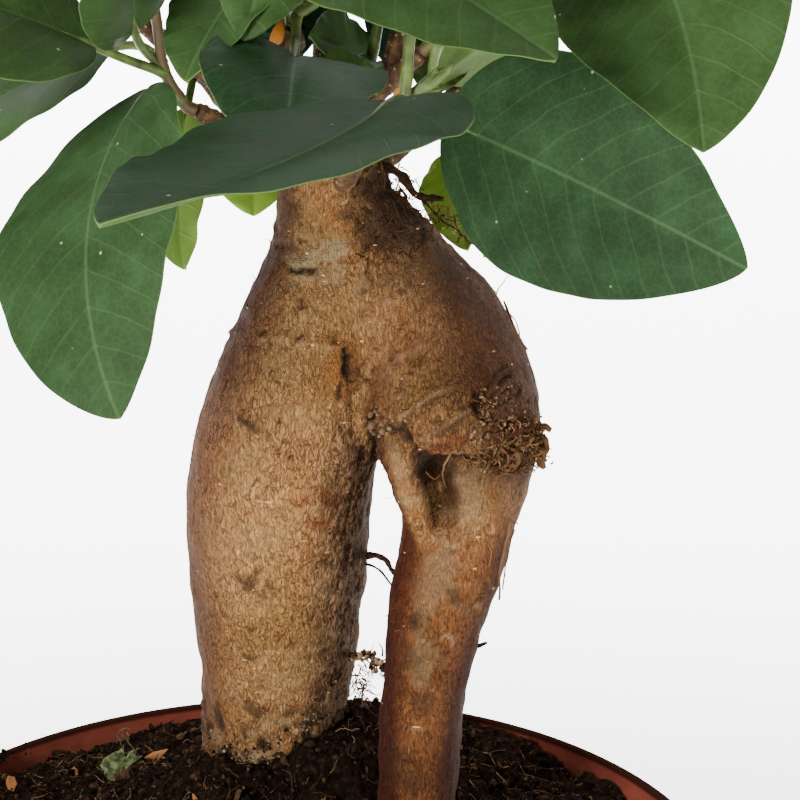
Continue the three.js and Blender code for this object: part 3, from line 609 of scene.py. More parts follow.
def skin(depth, axes):
    """The surface where depth is zero on a lattice: a point in each cell that it crosses, at the mean of the
    crossings of the cell's edges, and a quad round each lattice edge that it crosses."""
    inside = depth < 0
    corners = list(np.ndindex(2, 2, 2))
    shape = [n - 1 for n in depth.shape]
    slices = [tuple(slice(c, c + n) for c, n in zip(corner, shape)) for corner in corners]
    count = sum(inside[s].astype(np.int8) for s in slices)
    cells = np.argwhere((count > 0) & (count < 8))
    number = np.full(shape, -1)
    number[tuple(cells.T)] = np.arange(len(cells))
    values = np.stack([depth[tuple((cells + corner).T)] for corner in corners], -1)
    total, hits = np.zeros((len(cells), 3)), np.zeros(len(cells))
    for a in range(8):
        for b in range(a + 1, 8):
            step = np.subtract(corners[b], corners[a])
            if np.abs(step).sum() != 1:
                continue
            crossed = (values[:, a] < 0) != (values[:, b] < 0)
            share = np.where(crossed, values[:, a] / np.where(crossed, values[:, a] - values[:, b], 1), 0)
            total += crossed[:, None] * (np.array(corners[a]) + share[:, None] * step)
            hits += crossed
    places = cells + total / hits[:, None]
    origin = np.array([axis[0] for axis in axes])
    points = origin + places * (axes[0][1] - axes[0][0])
    quads = []
    for axis in range(3):
        low = [slice(1, -1)] * 3
        high = [slice(1, -1)] * 3
        low[axis], high[axis] = slice(0, -1), slice(1, None)
        here, there = inside[tuple(low)], inside[tuple(high)]
        for flip, crossed in ((False, here & ~there), (True, ~here & there)):
            at = np.argwhere(crossed)
            at[:, [k for k in range(3) if k != axis]] += 1
            p, q = [k for k in range(3) if k != axis]
            ring = []
            for dp, dq in ((0, 0), (1, 0), (1, 1), (0, 1)):
                cell = at.copy()
                cell[:, p] -= 1 - dp
                cell[:, q] -= 1 - dq
                ring.append(number[tuple(cell.T)])
            quad = np.stack(ring, -1)
            quads.append(quad[:, ::-1] if flip != (axis == 1) else quad)
    return points, np.vstack(quads)


def face_normals(points, quads):
    """A unit normal for each point: the sum of those of the quads round it."""
    across = np.cross(points[quads[:, 2]] - points[quads[:, 0]], points[quads[:, 3]] - points[quads[:, 1]])
    total = np.zeros_like(points)
    for corner in range(4):
        for k in range(3):
            total[:, k] += np.bincount(quads[:, corner], across[:, k], len(points))
    return unit(total)


def way_out(places):
    """The direction out of the rootstock at each place: how its depth differs over 0.2 mm either way."""
    slopes = [
        rootstock_depth(*(places + step).T) - rootstock_depth(*(places - step).T) for step in 0.2 * np.eye(3)
    ]
    return unit(np.stack(slopes, -1))


def seen_at(pixels):
    """The places on the rootstock that are seen at pixels, and the directions out of it there. Each sight
    line is followed in steps of 0.2 mm to where it first goes inside, or to where it passes closest."""
    reach = np.linspace(290, 400, 551)
    places = CAMERA_PLACE + sight_lines(pixels)[:, None] * reach[:, None]
    depth = rootstock_depth(*np.moveaxis(places, -1, 0))
    inside = depth < 0
    first = np.where(inside.any(1), inside.argmax(1), depth.argmin(1))
    found = places[np.arange(len(first)), first]
    return found, way_out(found)


# Marks on the bark: the tone and how strong it is, half width and height in mm (a groove is below 0), and
# the pixels of the photograph along the mark. Dark marks along grooves, clefts and pits are darker bark with
# painted shade in them.

MARKS = [
    # clefts round the crotch, the strut and the pocket below the belly, with painted shade in the clefts and
    # the pocket
    ("dark", 1.0, 0.8, -1.5, (376, 452), (375, 440), (371, 424), (374, 406)),
    ("dark", 0.9, 0.5, -0.8, (374, 406), (371, 391), (364, 380)),
    ("dark", 0.45, 0.5, -0.4, (364, 380), (357, 370)),
    ("dark", 0.95, 0.45, -1.0, (377, 438), (382, 431), (392, 428), (404, 429), (411, 434), (415, 443),
     (418, 456)),
    ("dark", 0.8, 0.4, -0.6, (418, 456), (421, 475), (425, 498)),
    ("dark", 0.9, 0.5, -0.9, (403, 423), (412, 436), (421, 449), (433, 457), (447, 458), (464, 455)),
    ("dark", 1.0, 2.2, -1.2, (423, 458), (427, 468), (434, 464)),
    ("dark", 0.9, 1.6, -0.8, (424, 470), (428, 482), (434, 474)),
    ("dark", 0.75, 2.4, -0.7, (430, 478), (438, 476), (443, 466)),
    ("dark", 0.35, 1.4, -0.4, (430, 492), (437, 500)),
    # the healed crack with its orange lips
    ("dark", 1.0, 0.45, -1.0, (344, 349), (347, 358), (343, 366), (346, 378)),
    ("dark", 0.7, 0.3, -0.5, (340, 355), (345, 362), (351, 370)),
    ("dark", 0.8, 0.35, -0.6, (340, 378), (338, 386), (338, 397)),
    ("orange", 0.75, 1.1, 0.35, (337, 347), (334, 362), (336, 380)),
    ("orange", 0.6, 0.9, 0.4, (352, 352), (351, 368), (347, 384), (343, 400)),
    ("orange", 0.5, 0.6, 0.15, (322, 343), (345, 342), (366, 344), (382, 346)),
    ("dark", 0.5, 0.3, -0.3, (376, 349), (385, 344)),
    # folds that run up the belly from the crotch
    ("pale", 0.45, 0.6, 0.55, (397, 359), (408, 353), (420, 347)),
    ("dark", 0.55, 0.3, -0.45, (385, 366), (396, 355), (411, 347)),
    ("dark", 0.6, 0.3, -0.5, (380, 384), (390, 375), (402, 371), (414, 374)),
    ("dark", 0.55, 0.3, -0.45, (368, 384), (376, 373), (388, 364), (399, 362)),
    ("dark", 0.5, 0.35, -0.4, (363, 366), (374, 359), (382, 351)),
    ("pale", 0.3, 0.5, 0.35, (384, 379), (394, 371), (404, 368)),
    ("green", 0.8, 1.3, 0.15, (415, 362), (419, 361)),
    ("pale", 0.7, 0.5, 0.55, (399, 416), (405, 413), (412, 409)),
    ("pale", 0.6, 0.35, 0.4, (412, 409), (421, 404), (430, 397), (440, 391), (450, 387)),
    ("dark", 0.4, 0.3, -0.3, (403, 420), (416, 411), (433, 401), (452, 391)),
    ("dark", 0.6, 0.4, -0.5, (424, 441), (436, 434), (447, 428), (460, 421), (473, 415)),
    ("pale", 0.35, 0.45, 0.35, (426, 437), (440, 429), (458, 418), (470, 412)),
    ("red", 0.7, 1.2, 0.35, (432, 448), (446, 444), (460, 438)),
    ("dark", 0.5, 0.7, 0.3, (443, 431), (449, 428)),
    ("dark", 0.45, 0.6, 0.3, (432, 441), (450, 443)),
    # the hollow where the roots come out, with fine ridges round it; painted shade darkens the hollow and the
    # grooves between the ridges
    ("dark", 0.95, 0.8, -1.3, (481, 396), (478, 404), (480, 412), (486, 419)),
    ("dark", 0.85, 0.6, -0.8, (487, 421), (500, 424), (514, 421), (528, 419)),
    ("dark", 0.6, 0.3, -0.4, (483, 394), (487, 384), (494, 376), (505, 368)),
    ("dark", 0.6, 0.3, -0.45, (487, 398), (493, 389), (500, 382), (509, 377)),
    ("dark", 0.6, 0.3, -0.4, (489, 403), (497, 395), (508, 388)),
    ("dark", 0.6, 0.35, -0.5, (489, 409), (499, 403), (511, 398), (519, 389)),
    ("dark", 0.6, 0.3, -0.4, (491, 414), (503, 411), (514, 407)),
    ("dark", 0.55, 0.3, -0.4, (506, 417), (518, 411), (529, 400)),
    ("pale", 0.2, 0.3, 0.2, (485, 398), (490, 388), (497, 380)),
    ("pale", 0.2, 0.3, 0.2, (489, 401), (498, 391), (508, 382)),
    ("pale", 0.2, 0.3, 0.2, (492, 407), (503, 400), (514, 391)),
    ("grey", 0.35, 2.0, 0.3, (497, 392), (504, 400)),
    ("dark", 0.25, 2.6, 0.1, (490, 432), (508, 440), (524, 436)),
    ("red", 0.6, 1.5, 0.3, (500, 432), (515, 436), (528, 440)),
    ("dark", 0.55, 1.1, -0.5, (474, 459), (490, 462), (510, 470)),
    # scars of the neck, then broad dark patches that are painted shade along its sides and down the
    # shoulder's right side, and painted shadow of the leaves at its top right
    ("grey", 0.75, 1.5, 0.2, (296, 263), (306, 260), (318, 257), (332, 254), (340, 248)),
    ("grey", 0.4, 1.3, 0.1, (300, 272), (318, 274), (334, 274)),
    ("dark", 0.95, 0.35, -0.6, (291, 268), (301, 270), (313, 271)),
    ("dark", 0.7, 0.3, -0.5, (341, 251), (346, 248), (351, 253), (348, 260), (342, 258), (341, 251)),
    ("pale", 0.6, 0.5, 0.3, (346, 254), (347, 254)),
    ("pale", 0.5, 0.8, 0.3, (363, 278), (367, 285)),
    ("dark", 0.7, 0.28, -0.4, (362, 271), (368, 274), (373, 282), (370, 290), (364, 290)),
    ("dark", 0.45, 0.3, -0.4, (284, 262), (276, 272), (268, 284)),
    ("dark", 0.45, 0.3, -0.4, (262, 268), (254, 288), (246, 303)),
    ("dark", 0.85, 0.4, -0.6, (300, 297), (301, 306)),
    ("pale", 0.6, 0.5, 0.25, (389, 301), (392, 302)),
    # broad dark patches: painted shadow of the leaves on the neck, and painted shade along its sides and down
    # the shoulder
    ("dark", 0.95, 3.4, 0.4, (388, 188), (396, 205), (404, 226)),
    ("dark", 0.9, 3.6, 0.2, (374, 186), (378, 205), (384, 232)),
    ("dark", 0.65, 3.0, 0.2, (412, 236), (432, 254), (452, 272)),
    ("dark", 0.6, 3.0, 0.0, (352, 186), (362, 206), (366, 224)),
    ("dark", 0.45, 3.5, 0.0, (392, 258), (420, 268), (446, 290)),
    ("dark", 0.35, 3.2, 0.0, (450, 280), (474, 300), (494, 324)),
    ("dark", 0.35, 1.6, 0.0, (288, 212), (284, 236), (276, 258)),
    ("dark", 0.45, 0.5, -0.3, (355, 207), (366, 226), (384, 240)),
    # knots, pits and short cracks of the left leg
    ("dark", 0.75, 0.75, 0.5, (242, 419), (248, 424), (254, 430)),
    ("dark", 0.5, 0.4, -0.3, (248, 431), (249, 436)),
    ("dark", 0.7, 1.0, 0.5, (243, 579), (248, 583), (252, 578)),
    ("dark", 0.6, 0.3, -0.3, (250, 588), (260, 594), (268, 597)),
    ("dark", 0.6, 0.6, 0.3, (266, 582), (271, 584)),
    ("dark", 0.6, 0.25, -0.3, (265, 586), (262, 595)),
    ("dark", 0.65, 0.6, 0.3, (245, 625), (252, 626)),
    ("dark", 0.65, 0.6, 0.3, (247, 655), (252, 657)),
    ("dark", 0.5, 0.45, 0.3, (282, 648), (291, 643)),
    ("dark", 0.5, 0.4, 0.2, (298, 652), (305, 660)),
    ("dark", 0.7, 1.3, 0.6, (250, 704), (256, 709)),
    ("dark", 0.65, 0.5, 0.3, (266, 708), (268, 709)),
    ("dark", 0.55, 0.25, -0.3, (253, 688), (250, 700)),
    ("dark", 0.9, 0.3, -0.6, (280, 421), (280, 422)),
    ("dark", 0.9, 0.32, -0.6, (288, 441), (289, 442)),
    ("dark", 0.9, 0.3, -0.6, (280, 451), (280, 452)),
    ("dark", 0.9, 0.35, -0.6, (284, 456), (290, 455)),
    ("dark", 0.8, 0.3, -0.5, (305, 451), (305, 452)),
    ("dark", 0.8, 0.3, -0.5, (312, 459), (312, 460)),
    ("dark", 0.8, 0.3, -0.5, (305, 440), (306, 441)),
    ("red", 0.6, 1.2, 0.0, (324, 496), (336, 500)),
    ("red", 0.6, 1.0, 0.0, (312, 524), (326, 520)),
    ("red", 0.5, 0.9, 0.0, (297, 500), (300, 501)),
    # patches and scars of the right leg
    ("grey", 0.4, 2.6, 0.5, (456, 474), (464, 490), (460, 506)),
    ("grey", 0.3, 2.5, 0.2, (446, 560), (436, 580), (428, 600)),
    ("green", 0.75, 2.6, 0.1, (425, 628), (432, 650), (430, 672)),
    ("grey", 0.3, 1.4, 0.1, (418, 634), (424, 652), (420, 680)),
    ("green", 0.5, 2.0, 0.0, (400, 668), (404, 690)),
    ("pale", 0.8, 0.4, 0.7, (441, 636), (446, 633), (451, 637), (452, 642)),
    ("red", 0.8, 1.2, 0.4, (442, 644), (447, 648)),
    ("dark", 0.65, 0.7, 0.1, (454, 594), (457, 599)),
    ("dark", 0.65, 0.8, 0.0, (411, 618), (415, 627)),
    ("dark", 0.4, 1.6, 0.0, (405, 650), (409, 660)),
    ("dark", 0.45, 1.8, 0.0, (418, 700), (420, 706)),
    ("dark", 0.4, 2.4, 0.0, (402, 766), (412, 778)),
    # rings round the neck and the shoulder, where the stock once narrowed
    ("dark", 0.75, 0.35, -0.5, (228, 327), (262, 330), (300, 336), (336, 342)),
    ("pale", 0.7, 0.45, 0.35, (230, 333), (264, 337), (302, 343), (336, 348)),
    ("dark", 0.65, 0.3, -0.4, (226, 344), (252, 346), (282, 350)),
    ("pale", 0.35, 0.7, 0.2, (300, 232), (312, 236), (322, 243), (318, 252)),
    ("dark", 0.5, 0.25, -0.3, (298, 238), (310, 241), (318, 248)),
    ("orange", 0.4, 2.0, 0.1, (318, 205), (332, 212), (340, 226)),
    ("dark", 0.6, 0.5, -0.3, (276, 243), (288, 247), (298, 249)),
    ("orange", 0.35, 1.2, 0.0, (398, 312), (408, 334), (402, 352)),
    ("pale", 0.75, 0.35, 0.25, (474, 606), (484, 611)),
    ("pale", 0.7, 0.3, 0.2, (410, 727), (421, 728)),
    ("dark", 0.85, 0.3, -0.5, (421, 524), (426, 530), (431, 534)),
    ("dark", 0.6, 0.3, -0.4, (446, 547), (454, 554)),
    ("orange", 0.5, 0.8, 0.1, (406, 485), (416, 486)),
    ("orange", 0.5, 0.8, 0.1, (410, 514), (422, 518)),
    ("green", 0.6, 1.8, 0.0, (392, 442), (398, 450)),
    ("pale", 0.35, 0.9, 0.1, (394, 452), (399, 466), (405, 480), (408, 500)),
    ("orange", 0.45, 0.7, 0.2, (492, 486), (497, 505), (494, 528)),
    ("orange", 0.4, 0.5, 0.2, (486, 544), (490, 560), (486, 575)),
]


def press_marks(points):
    """Height and tones that the marks give each point: a mark falls off as a bell curve of the distance from
    its path over its half width, made ragged by noise. A groove has a low lip on either side."""
    height = np.zeros(len(points))
    tones = {}
    ragged = 1 + 0.45 * noise(points, 0.8, 51) + 0.25 * noise(points, 2.2, 52)
    points = points + 0.45 * drift(points, 2.6, 60)
    points = points + 0.25 * drift(points, 1.0, 63)
    places = seen_at([pixel for mark in MARKS for pixel in mark[4:]])[0]
    start = 0
    for tone, strength, half_width, rise, *pixels in MARKS:
        path = places[start : start + len(pixels)]
        start += len(pixels)
        steps = np.linspace(0, len(path) - 1, 14 * (len(path) - 1) + 1)
        path = np.stack([np.interp(steps, np.arange(len(path)), path[:, k]) for k in range(3)], -1)
        margin = 4 * half_width
        near = np.flatnonzero(((points > path.min(0) - margin) & (points < path.max(0) + margin)).all(1))
        gap = np.sqrt(((points[near, None] - path[None]) ** 2).sum(-1).min(1)) * ragged[near]
        bell = np.exp(-((gap / half_width) ** 2))
        height[near] += rise * bell
        if rise < 0:
            height[near] -= 0.3 * rise * np.exp(-((gap / half_width - 2) ** 2))
        layer = tones.setdefault(tone, np.zeros(len(points)))
        spotty = 0.35 * noise(points[near], 0.7, 70) + 0.2 * noise(points[near], 1.8, 71)
        layer[near] = np.maximum(layer[near], strength * ease(0.12, 0.6, bell + spotty))
    return height, tones


def raise_tone(tones, name, value):
    """Lifts a tone to a value wherever it is below it."""
    tones[name] = np.maximum(tones.get(name, 0), value)


def make_rootstock(finish):
    """Body of the plant: the skin of the grown-together forms, with lumps, cracks and marks as relief."""
    cell = 0.5
    axes = [np.arange(low, high, cell) for low, high in ((-20, 45), (-9, 44), (-14, 118))]
    x, y, z = np.meshgrid(*axes, indexing="ij", sparse=True)
    depth = np.maximum(rootstock_depth(x, y, z), -12 - z)
    points, quads = skin(depth, axes)
    normals = face_normals(points, quads)
    height = points[:, 2]
    left_leg = ease(20, 12, points[:, 0]) * ease(88, 70, height)
    facing_gap = ease(0.2, 0.75, normals[:, 0]) * left_leg
    neck = ease(88, 100, height)
    upright = points / [1, 1, 3.0]
    ridges = 1 - 2 * np.abs(noise(points / [1, 1, 5.0] + 0.5 * noise(points, 2.5, 17)[:, None], 1.1, 16))
    relief = 0.4 * noise(points, 14, 1) + 0.22 * noise(points, 6, 2) + 0.14 * noise(points, 2.4, 3)
    relief += 0.15 * noise(upright, 1.2, 4) + 0.1 * noise(upright, 0.8, 15)
    relief += 0.3 * neck * noise(points, 1.5, 5) + 0.3 * facing_gap * ridges
    rise, tones = press_marks(points)
    root_zone = ease(25, 15, height + 4 * noise(points, 5, 10)) * ease(17, 12, points[:, 0])
    relief += rise + root_zone * (0.5 * noise(points, 1.6, 11) + 0.35 * noise(points, 0.9, 18))
    shoulder = ease(6, 34, points[:, 0]) * ease(56, 66, height)
    lean_right = ease(0.2, 0.9, normals[:, 0])
    right_leg = ease(13, 15, points[:, 0]) * ease(62, 50, height)
    raise_tone(tones, "red", 0.55 * right_leg + 0.35 * ease(0.4, 0.9, -normals[:, 0]))
    raise_tone(tones, "green", 0.4 * ease(0.2, 0.8, noise(points, 9, 8)))
    # Painted shade, multiplied over the bark: on sides that face left and those that face right, over the
    # belly's shoulder, on the side that faces the gap, in a band from 72 to 102 mm, on the right leg (more
    # low down) and in patches on the neck
    deep = 0.7 * ease(0.3, 0.95, -normals[:, 0]) + 0.72 * shoulder + 0.35 * lean_right + 0.3 * facing_gap
    deep += 0.2 * neck * ease(-0.2, 0.6, noise(points, 4, 9))
    deep += 0.25 * ease(72, 84, height) * ease(102, 92, height)
    deep += right_leg * (0.2 + 0.35 * ease(45, 12, height) + 0.3 * lean_right)
    raise_tone(tones, "deep", np.minimum(deep, 0.95))
    # Dark patches, mostly over the shoulder: darker bark there, and painted shade
    raise_tone(tones, "dark", 0.35 * ease(0.3, 0.7, noise(points, 1.7, 20)) * (0.15 + 0.85 * shoulder))
    # On the side that faces the gap: pale on the ridge crests and dark in the furrows, which is painted
    # highlight and painted shade
    raise_tone(tones, "pale", 0.3 * facing_gap * ease(0.45, 0.85, ridges))
    raise_tone(tones, "dark", 0.4 * facing_gap * ease(0.3, -0.2, ridges))
    raise_tone(tones, "grey", 0.6 * root_zone * ease(0.0, 0.4, noise(points, 1.7, 12)))
    raise_tone(tones, "orange", 0.7 * root_zone * ease(0.1, 0.5, noise(points, 2.0, 13)))
    raise_tone(tones, "dark", 0.9 * root_zone * ease(0.05, 0.3, noise(points, 1.4, 14)))
    strut = ease(1.5, 0.2, rod_depth(STRUT, STRUT_RADII, *points.T))
    points = points + normals * (relief * (1 - 0.65 * strut))[:, None]
    add_piece("rootstock", points, [quads], finish, "bark", ["trunk"], cracks=facing_gap, **tones)
    return points, normals


# Shoots: wood is the brown branch from the rootstock, stem is the green end of it, and each leaf has the
# share of the stem where its stalk starts, its base and tip, the way that it faces, its width and its bends

SHOOTS = {
    "left": {
        "wood": [[4, 16, 108], [-7, 13, 116], [-11.5, 10.5, 119]],
        "stem": [[-16, 8.5, 125.5], [-17, 8, 134], [-20, 6, 146], [-26, 2, 160]],
        "brown": 1.2,
        "leaves": [
            {"at": 0.22, "base": [-18, 5.5, 123], "tip": [-19, -31, 84], "face": [-0.5, -0.9, 0.1],
             "width": 34, "arch": 1, "fold": 0.1, "sway": -0.5, "twist": 0.4, "tint": 0.07},
            {"at": 0.38, "base": [-25, 1.5, 129.5], "tip": [-65, -18, 142], "face": [0.1, -0.6, 0.8],
             "width": 30, "arch": 0.5},
            {"at": 0.42, "base": [-24, 16, 128], "tip": [-64, 9, 104], "face": [0, -0.3, 0.95],
             "width": 28, "arch": 0.4},
            {"at": 0.4, "base": [-20, 6, 131], "tip": [-20, -20, 157], "face": [0.5, -0.8, 0.2],
             "width": 21, "arch": 0.4},
        ],
    },
    "front": {
        "wood": [[9, 14, 106], [12, 4, 113], [15, -8, 118], [18, -14, 122.5]],
        "stem": [[19.5, -15, 130], [20, -15, 140], [20, -20, 162]],
        "leaves": [
            {"at": 0.2, "base": [17, -33, 126.5], "tip": [-13.5, -84, 121], "face": [0, 0.15, 1],
             "width": 38, "arch": 0.5, "sway": 1.7, "tint": 0.04},
            {"at": 0.62, "base": [3, -14, 149], "tip": [37.5, -42, 133], "face": [0.15, -0.65, 0.75],
             "width": 29, "arch": 0.5, "sway": -0.2},
        ],
    },
    "middle": {
        "wood": [[7, 16, 108], [3, 12, 119], [0.5, 8.5, 127], [2.5, 9, 131]],
        "stem": [[8, 10, 140], [6, 8, 172]],
        "leaves": [
            {"at": 0.3, "base": [3.5, 1.5, 128], "tip": [3.5, -33, 119], "face": [0.1, -0.6, 0.8],
             "width": 26, "arch": 0.8, "twist": -0.45, "tint": 0.04},
            {"at": 0.45, "base": [-1, 12, 139], "tip": [-11, -10, 126], "face": [-0.5, -0.8, 0.3],
             "width": 20, "arch": 0.9, "sway": 0.4},
            {"at": 0.6, "base": [2, 8, 150], "tip": [-3, -9, 131.5], "face": [0.1, -0.95, 0.3],
             "width": 17, "arch": 0.8},
        ],
    },
    "right": {
        "wood": [[9, 18, 108], [13.5, 18, 118.5], [18, 15.5, 123.8], [21.5, 13.8, 127]],
        "stem": [[28, 11.5, 132.5], [36, 9, 141], [46, 10, 158]],
        "leaves": [
            {"at": 0.3, "base": [25, 10.5, 117.5], "tip": [66, -17.5, 101.5], "face": [-0.15, -1, -0.1],
             "width": 34, "arch": 0.3, "fold": 0.12, "sway": 0.6, "twist": -0.2, "tint": 0.05},
            {"at": 0.34, "base": [24, 18, 123], "tip": [56, 28, 139], "face": [-0.1, 0.65, 0.75],
             "width": 26, "arch": 0.45},
            {"at": 0.75, "base": [50, 16, 149], "tip": [59.5, -17, 117.5], "face": [-0.1, -1, 0.15],
             "width": 35, "arch": 0.7, "sway": 0.8, "twist": 0.4},
        ],
    },
    "centre": {
        "wood": [[9, 19, 106], [11.3, 20.7, 113], [12.3, 21.3, 117.2]],
        "stem": [[15.4, 22, 132], [18, 26, 150], [20, 28, 172]],
        "leaves": [
            {"at": 0.72, "base": [14.5, 32, 121.5], "tip": [5, 18, 129], "face": [-0.1, -0.8, 0.55],
             "width": 16, "arch": 0.35},
            {"at": 0.32, "base": [7, 23, 124], "tip": [15, 7.5, 122], "face": [0.15, -0.7, 0.7],
             "width": 11, "arch": 0.3},
        ],
    },
    "back_left": {
        "wood": [[5, 22, 108], [-5, 26, 114], [-12.5, 34, 121]],
        "stem": [[-14, 38, 130], [-22, 44, 146]],
        "leaves": [
            {"at": 0.4, "base": [-14.5, 28, 117], "tip": [-14, 11, 95], "face": [-0.5, -0.85, 0],
             "width": 15, "arch": 0.45, "tint": 0.45},
            {"at": 0.38, "base": [-5, 36, 115], "tip": [-4.5, 27, 100], "face": [0, -1, 0.15],
             "width": 17, "arch": 0.4, "tint": 1.0},
        ],
    },
    "back_right": {
        "wood": [[11, 21, 106], [20, 28, 112], [29, 36, 120]],
        "stem": [[33, 40, 132], [40, 44, 148]],
        "leaves": [
            {"at": 0.38, "base": [26, 38, 108], "tip": [29, 27, 94.5], "face": [-0.05, -0.95, -0.35],
             "width": 11, "arch": 0.4, "tint": 0.8},
        ],
    },
    "far_left": {
        "wood": [[4, 22, 108], [-8, 30, 119], [-19, 33, 127], [-27, 33, 134]],
        "stem": [[-36, 30, 142], [-43, 27, 154]],
        "leaves": [],
    },
    "low_front": {
        "wood": [[2, 31, 126], [-3, 12, 150], [-4, -4, 157]],
        "stem": [[-6, -16, 164], [-8, -24, 176]],
        "leaves": [],
    },
    "top_left": {
        "wood": [[6, 23, 110], [2, 31, 124], [-4, 26, 148]],
        "stem": [[-8, 20, 160], [-10, 18, 182]],
        "leaves": [],
    },
    "top_right": {
        "wood": [[16.5, 16.4, 122], [20, 19, 133], [28, 25, 150]],
        "stem": [[32, 20, 164], [30, 14, 184]],
        "leaves": [],
    },
    "rear": {
        "wood": [[9, 23, 109], [6, 37, 122], [7, 45, 133]],
        "stem": [[8, 50, 146], [6, 52, 164]],
        "leaves": [],
    },
}


def blade(leaf, u, v, fullness=0.0):
    """Points of a leaf's middle surface, its upper side's normal and its half width. u runs from base to tip
    and v from -1 to 1 across. The midrib is an arc that bows towards the leaf's face, or to one side by the
    sway, and turns about itself by the twist. Each half rises from it at the fold angle and curls down to its
    edge. The half width is a power of a sine. It ends in a narrow nib, or with some fullness it runs on to a
    point and is that much fuller before it."""
    u, v = np.broadcast_arrays(np.asarray(u, float), np.asarray(v, float))
    fold, sway, twist = leaf.get("fold", 0.27), leaf.get("sway", 0.0), leaf.get("twist", 0.0)
    arch, width, widest = leaf["arch"], leaf["width"], leaf.get("widest", 0.41)
    chord = np.subtract(leaf["tip"], leaf["base"])
    reach = np.linalg.norm(chord)
    chord = chord / reach
    up = np.asarray(leaf["face"], float)
    up = unit(up - up @ chord * chord)
    bow = math.cos(sway) * up + math.sin(sway) * np.cross(up, chord)
    length = reach * arch / 2 / math.sin(arch / 2)
    turn = (arch / 2 - arch * u)[..., None]
    point = leaf["base"] + length / arch * (
        (math.sin(arch / 2) - np.sin(turn)) * chord + (np.cos(turn) - math.cos(arch / 2)) * bow
    )
    heading = np.cos(turn) * chord + np.sin(turn) * bow
    flat = up + math.cos(sway) * ((np.cos(turn) - 1) * bow - np.sin(turn) * chord)
    roll = (twist * (u - 0.5))[..., None]
    normal = flat * np.cos(roll) + np.cross(flat, heading) * np.sin(roll)
    side = np.cross(normal, heading)
    end, nib = (1.0, 0.0) if fullness else (0.97, 0.12)
    power = math.log(0.5) / math.log(widest / end)
    oval = np.sin(np.pi * np.minimum(u / end, 1) ** power).clip(0) ** (0.72 - fullness * ease(0.5, 0.92, u))
    half = np.hypot(oval, nib * u * np.sqrt((1 - u**10).clip(0))) * width / 2
    out = np.abs(v) * half
    curl = fold / (0.35 * width)
    lean = fold - curl * out
    point = point + side * (np.sign(v) * (math.sin(fold) - np.sin(lean)) / curl)[..., None]
    point = point + normal * ((np.cos(lean) - math.cos(fold)) / curl)[..., None]
    face = normal * np.cos(lean)[..., None] - side * (np.sign(v) * np.sin(lean))[..., None]
    return point, face, half


def stalk(leaf, shares):
    """Points of a leaf's stalk: a cubic that leaves the stem, bends into line with the midrib and runs on
    into the foot of the blade."""
    seat, foot, ahead = blade(leaf, np.array([0.12, 0, 0.05]), np.zeros(3))[0]
    start = np.asarray(leaf["from"])
    joint = foot + unit(foot - ahead) * 0.35 * np.linalg.norm(start - foot)
    t = np.asarray(shares, float)[:, None]
    knee = start + 0.6 * (joint - start)
    return (1 - t) ** 3 * start + 3 * (1 - t) ** 2 * t * knee + 3 * (1 - t) * t**2 * joint + t**3 * seat


def feelers(leaf):
    """The places that keep leaves apart: points spread over the blade, and points along the stalk."""
    u, v = np.meshgrid(np.arange(13) / 12, np.arange(7) / 3 - 1, indexing="ij")
    return blade(leaf, u, v)[0].reshape(-1, 3), stalk(leaf, np.arange(7) / 6)


def is_clear(spots, taken, clearance):
    """Whether no spot is within the clearance of a taken one."""
    near = taken[((taken - spots.mean(0)) ** 2).sum(1) < 60**2]
    for some in (spots[::9], spots):
        if (((some[:, None] - near[None]) ** 2).sum(-1) <= clearance**2).any():
            return False
    return True


def grown_leaf(stem, at, turn, taken, draw):
    """One more leaf for a stem: it points away from the stem at its turn of the spiral, faces up and out of
    the crown, rises more the higher it sits, and is tried at several angles until it is clear."""
    start = smooth_curve(stem, at)[0]
    tangent = curve_direction(stem, at)
    for tries in range(60):
        azimuth = turn + draw(-0.3, 0.3) * (1 + tries / 10)
        droop = draw(-0.5, 0.1) + 0.9 * at
        length = LEAF_LENGTH * draw(0.85, 1.12) * (1 - tries / 200)
        outward = unit((start - CROWN_CENTRE) * [1, 1, 0])
        heading = unit(np.array([math.cos(azimuth), math.sin(azimuth), 0]) + 0.35 * outward)
        base = start + PETIOLE_LENGTH * unit(heading + (0.7 + at) * tangent)
        chord = unit(np.array([heading[0], heading[1], droop]))
        leaf = {
            "from": start,
            "base": base,
            "tip": base + chord * length,
            "face": np.array([draw(-0.3, 0.3), draw(-0.3, 0.3), 1]) + 0.5 * heading,
            "width": length * LEAF_SLENDERNESS * draw(0.92, 1.08),
            "arch": draw(0.3, 0.75),
            "fold": draw(0.18, 0.34),
            "sway": draw(-0.4, 0.4),
            "twist": draw(-0.3, 0.3),
            "widest": draw(0.38, 0.47),
        }
        spots, bends = feelers(leaf)
        above_skirt = (spots[:, 2] > SKIRT_HEIGHT - SKIRT_SLOPE * spots[:, 1]).all()
        in_crown = (((spots - CROWN_CENTRE) ** 2).sum(1) < CROWN_RADIUS**2).all()
        if not (above_skirt and in_crown):
            continue
        if is_clear(spots, taken, LEAF_CLEARANCE) and is_clear(bends[3:], taken, PETIOLE_CLEARANCE):
            return leaf
    return None


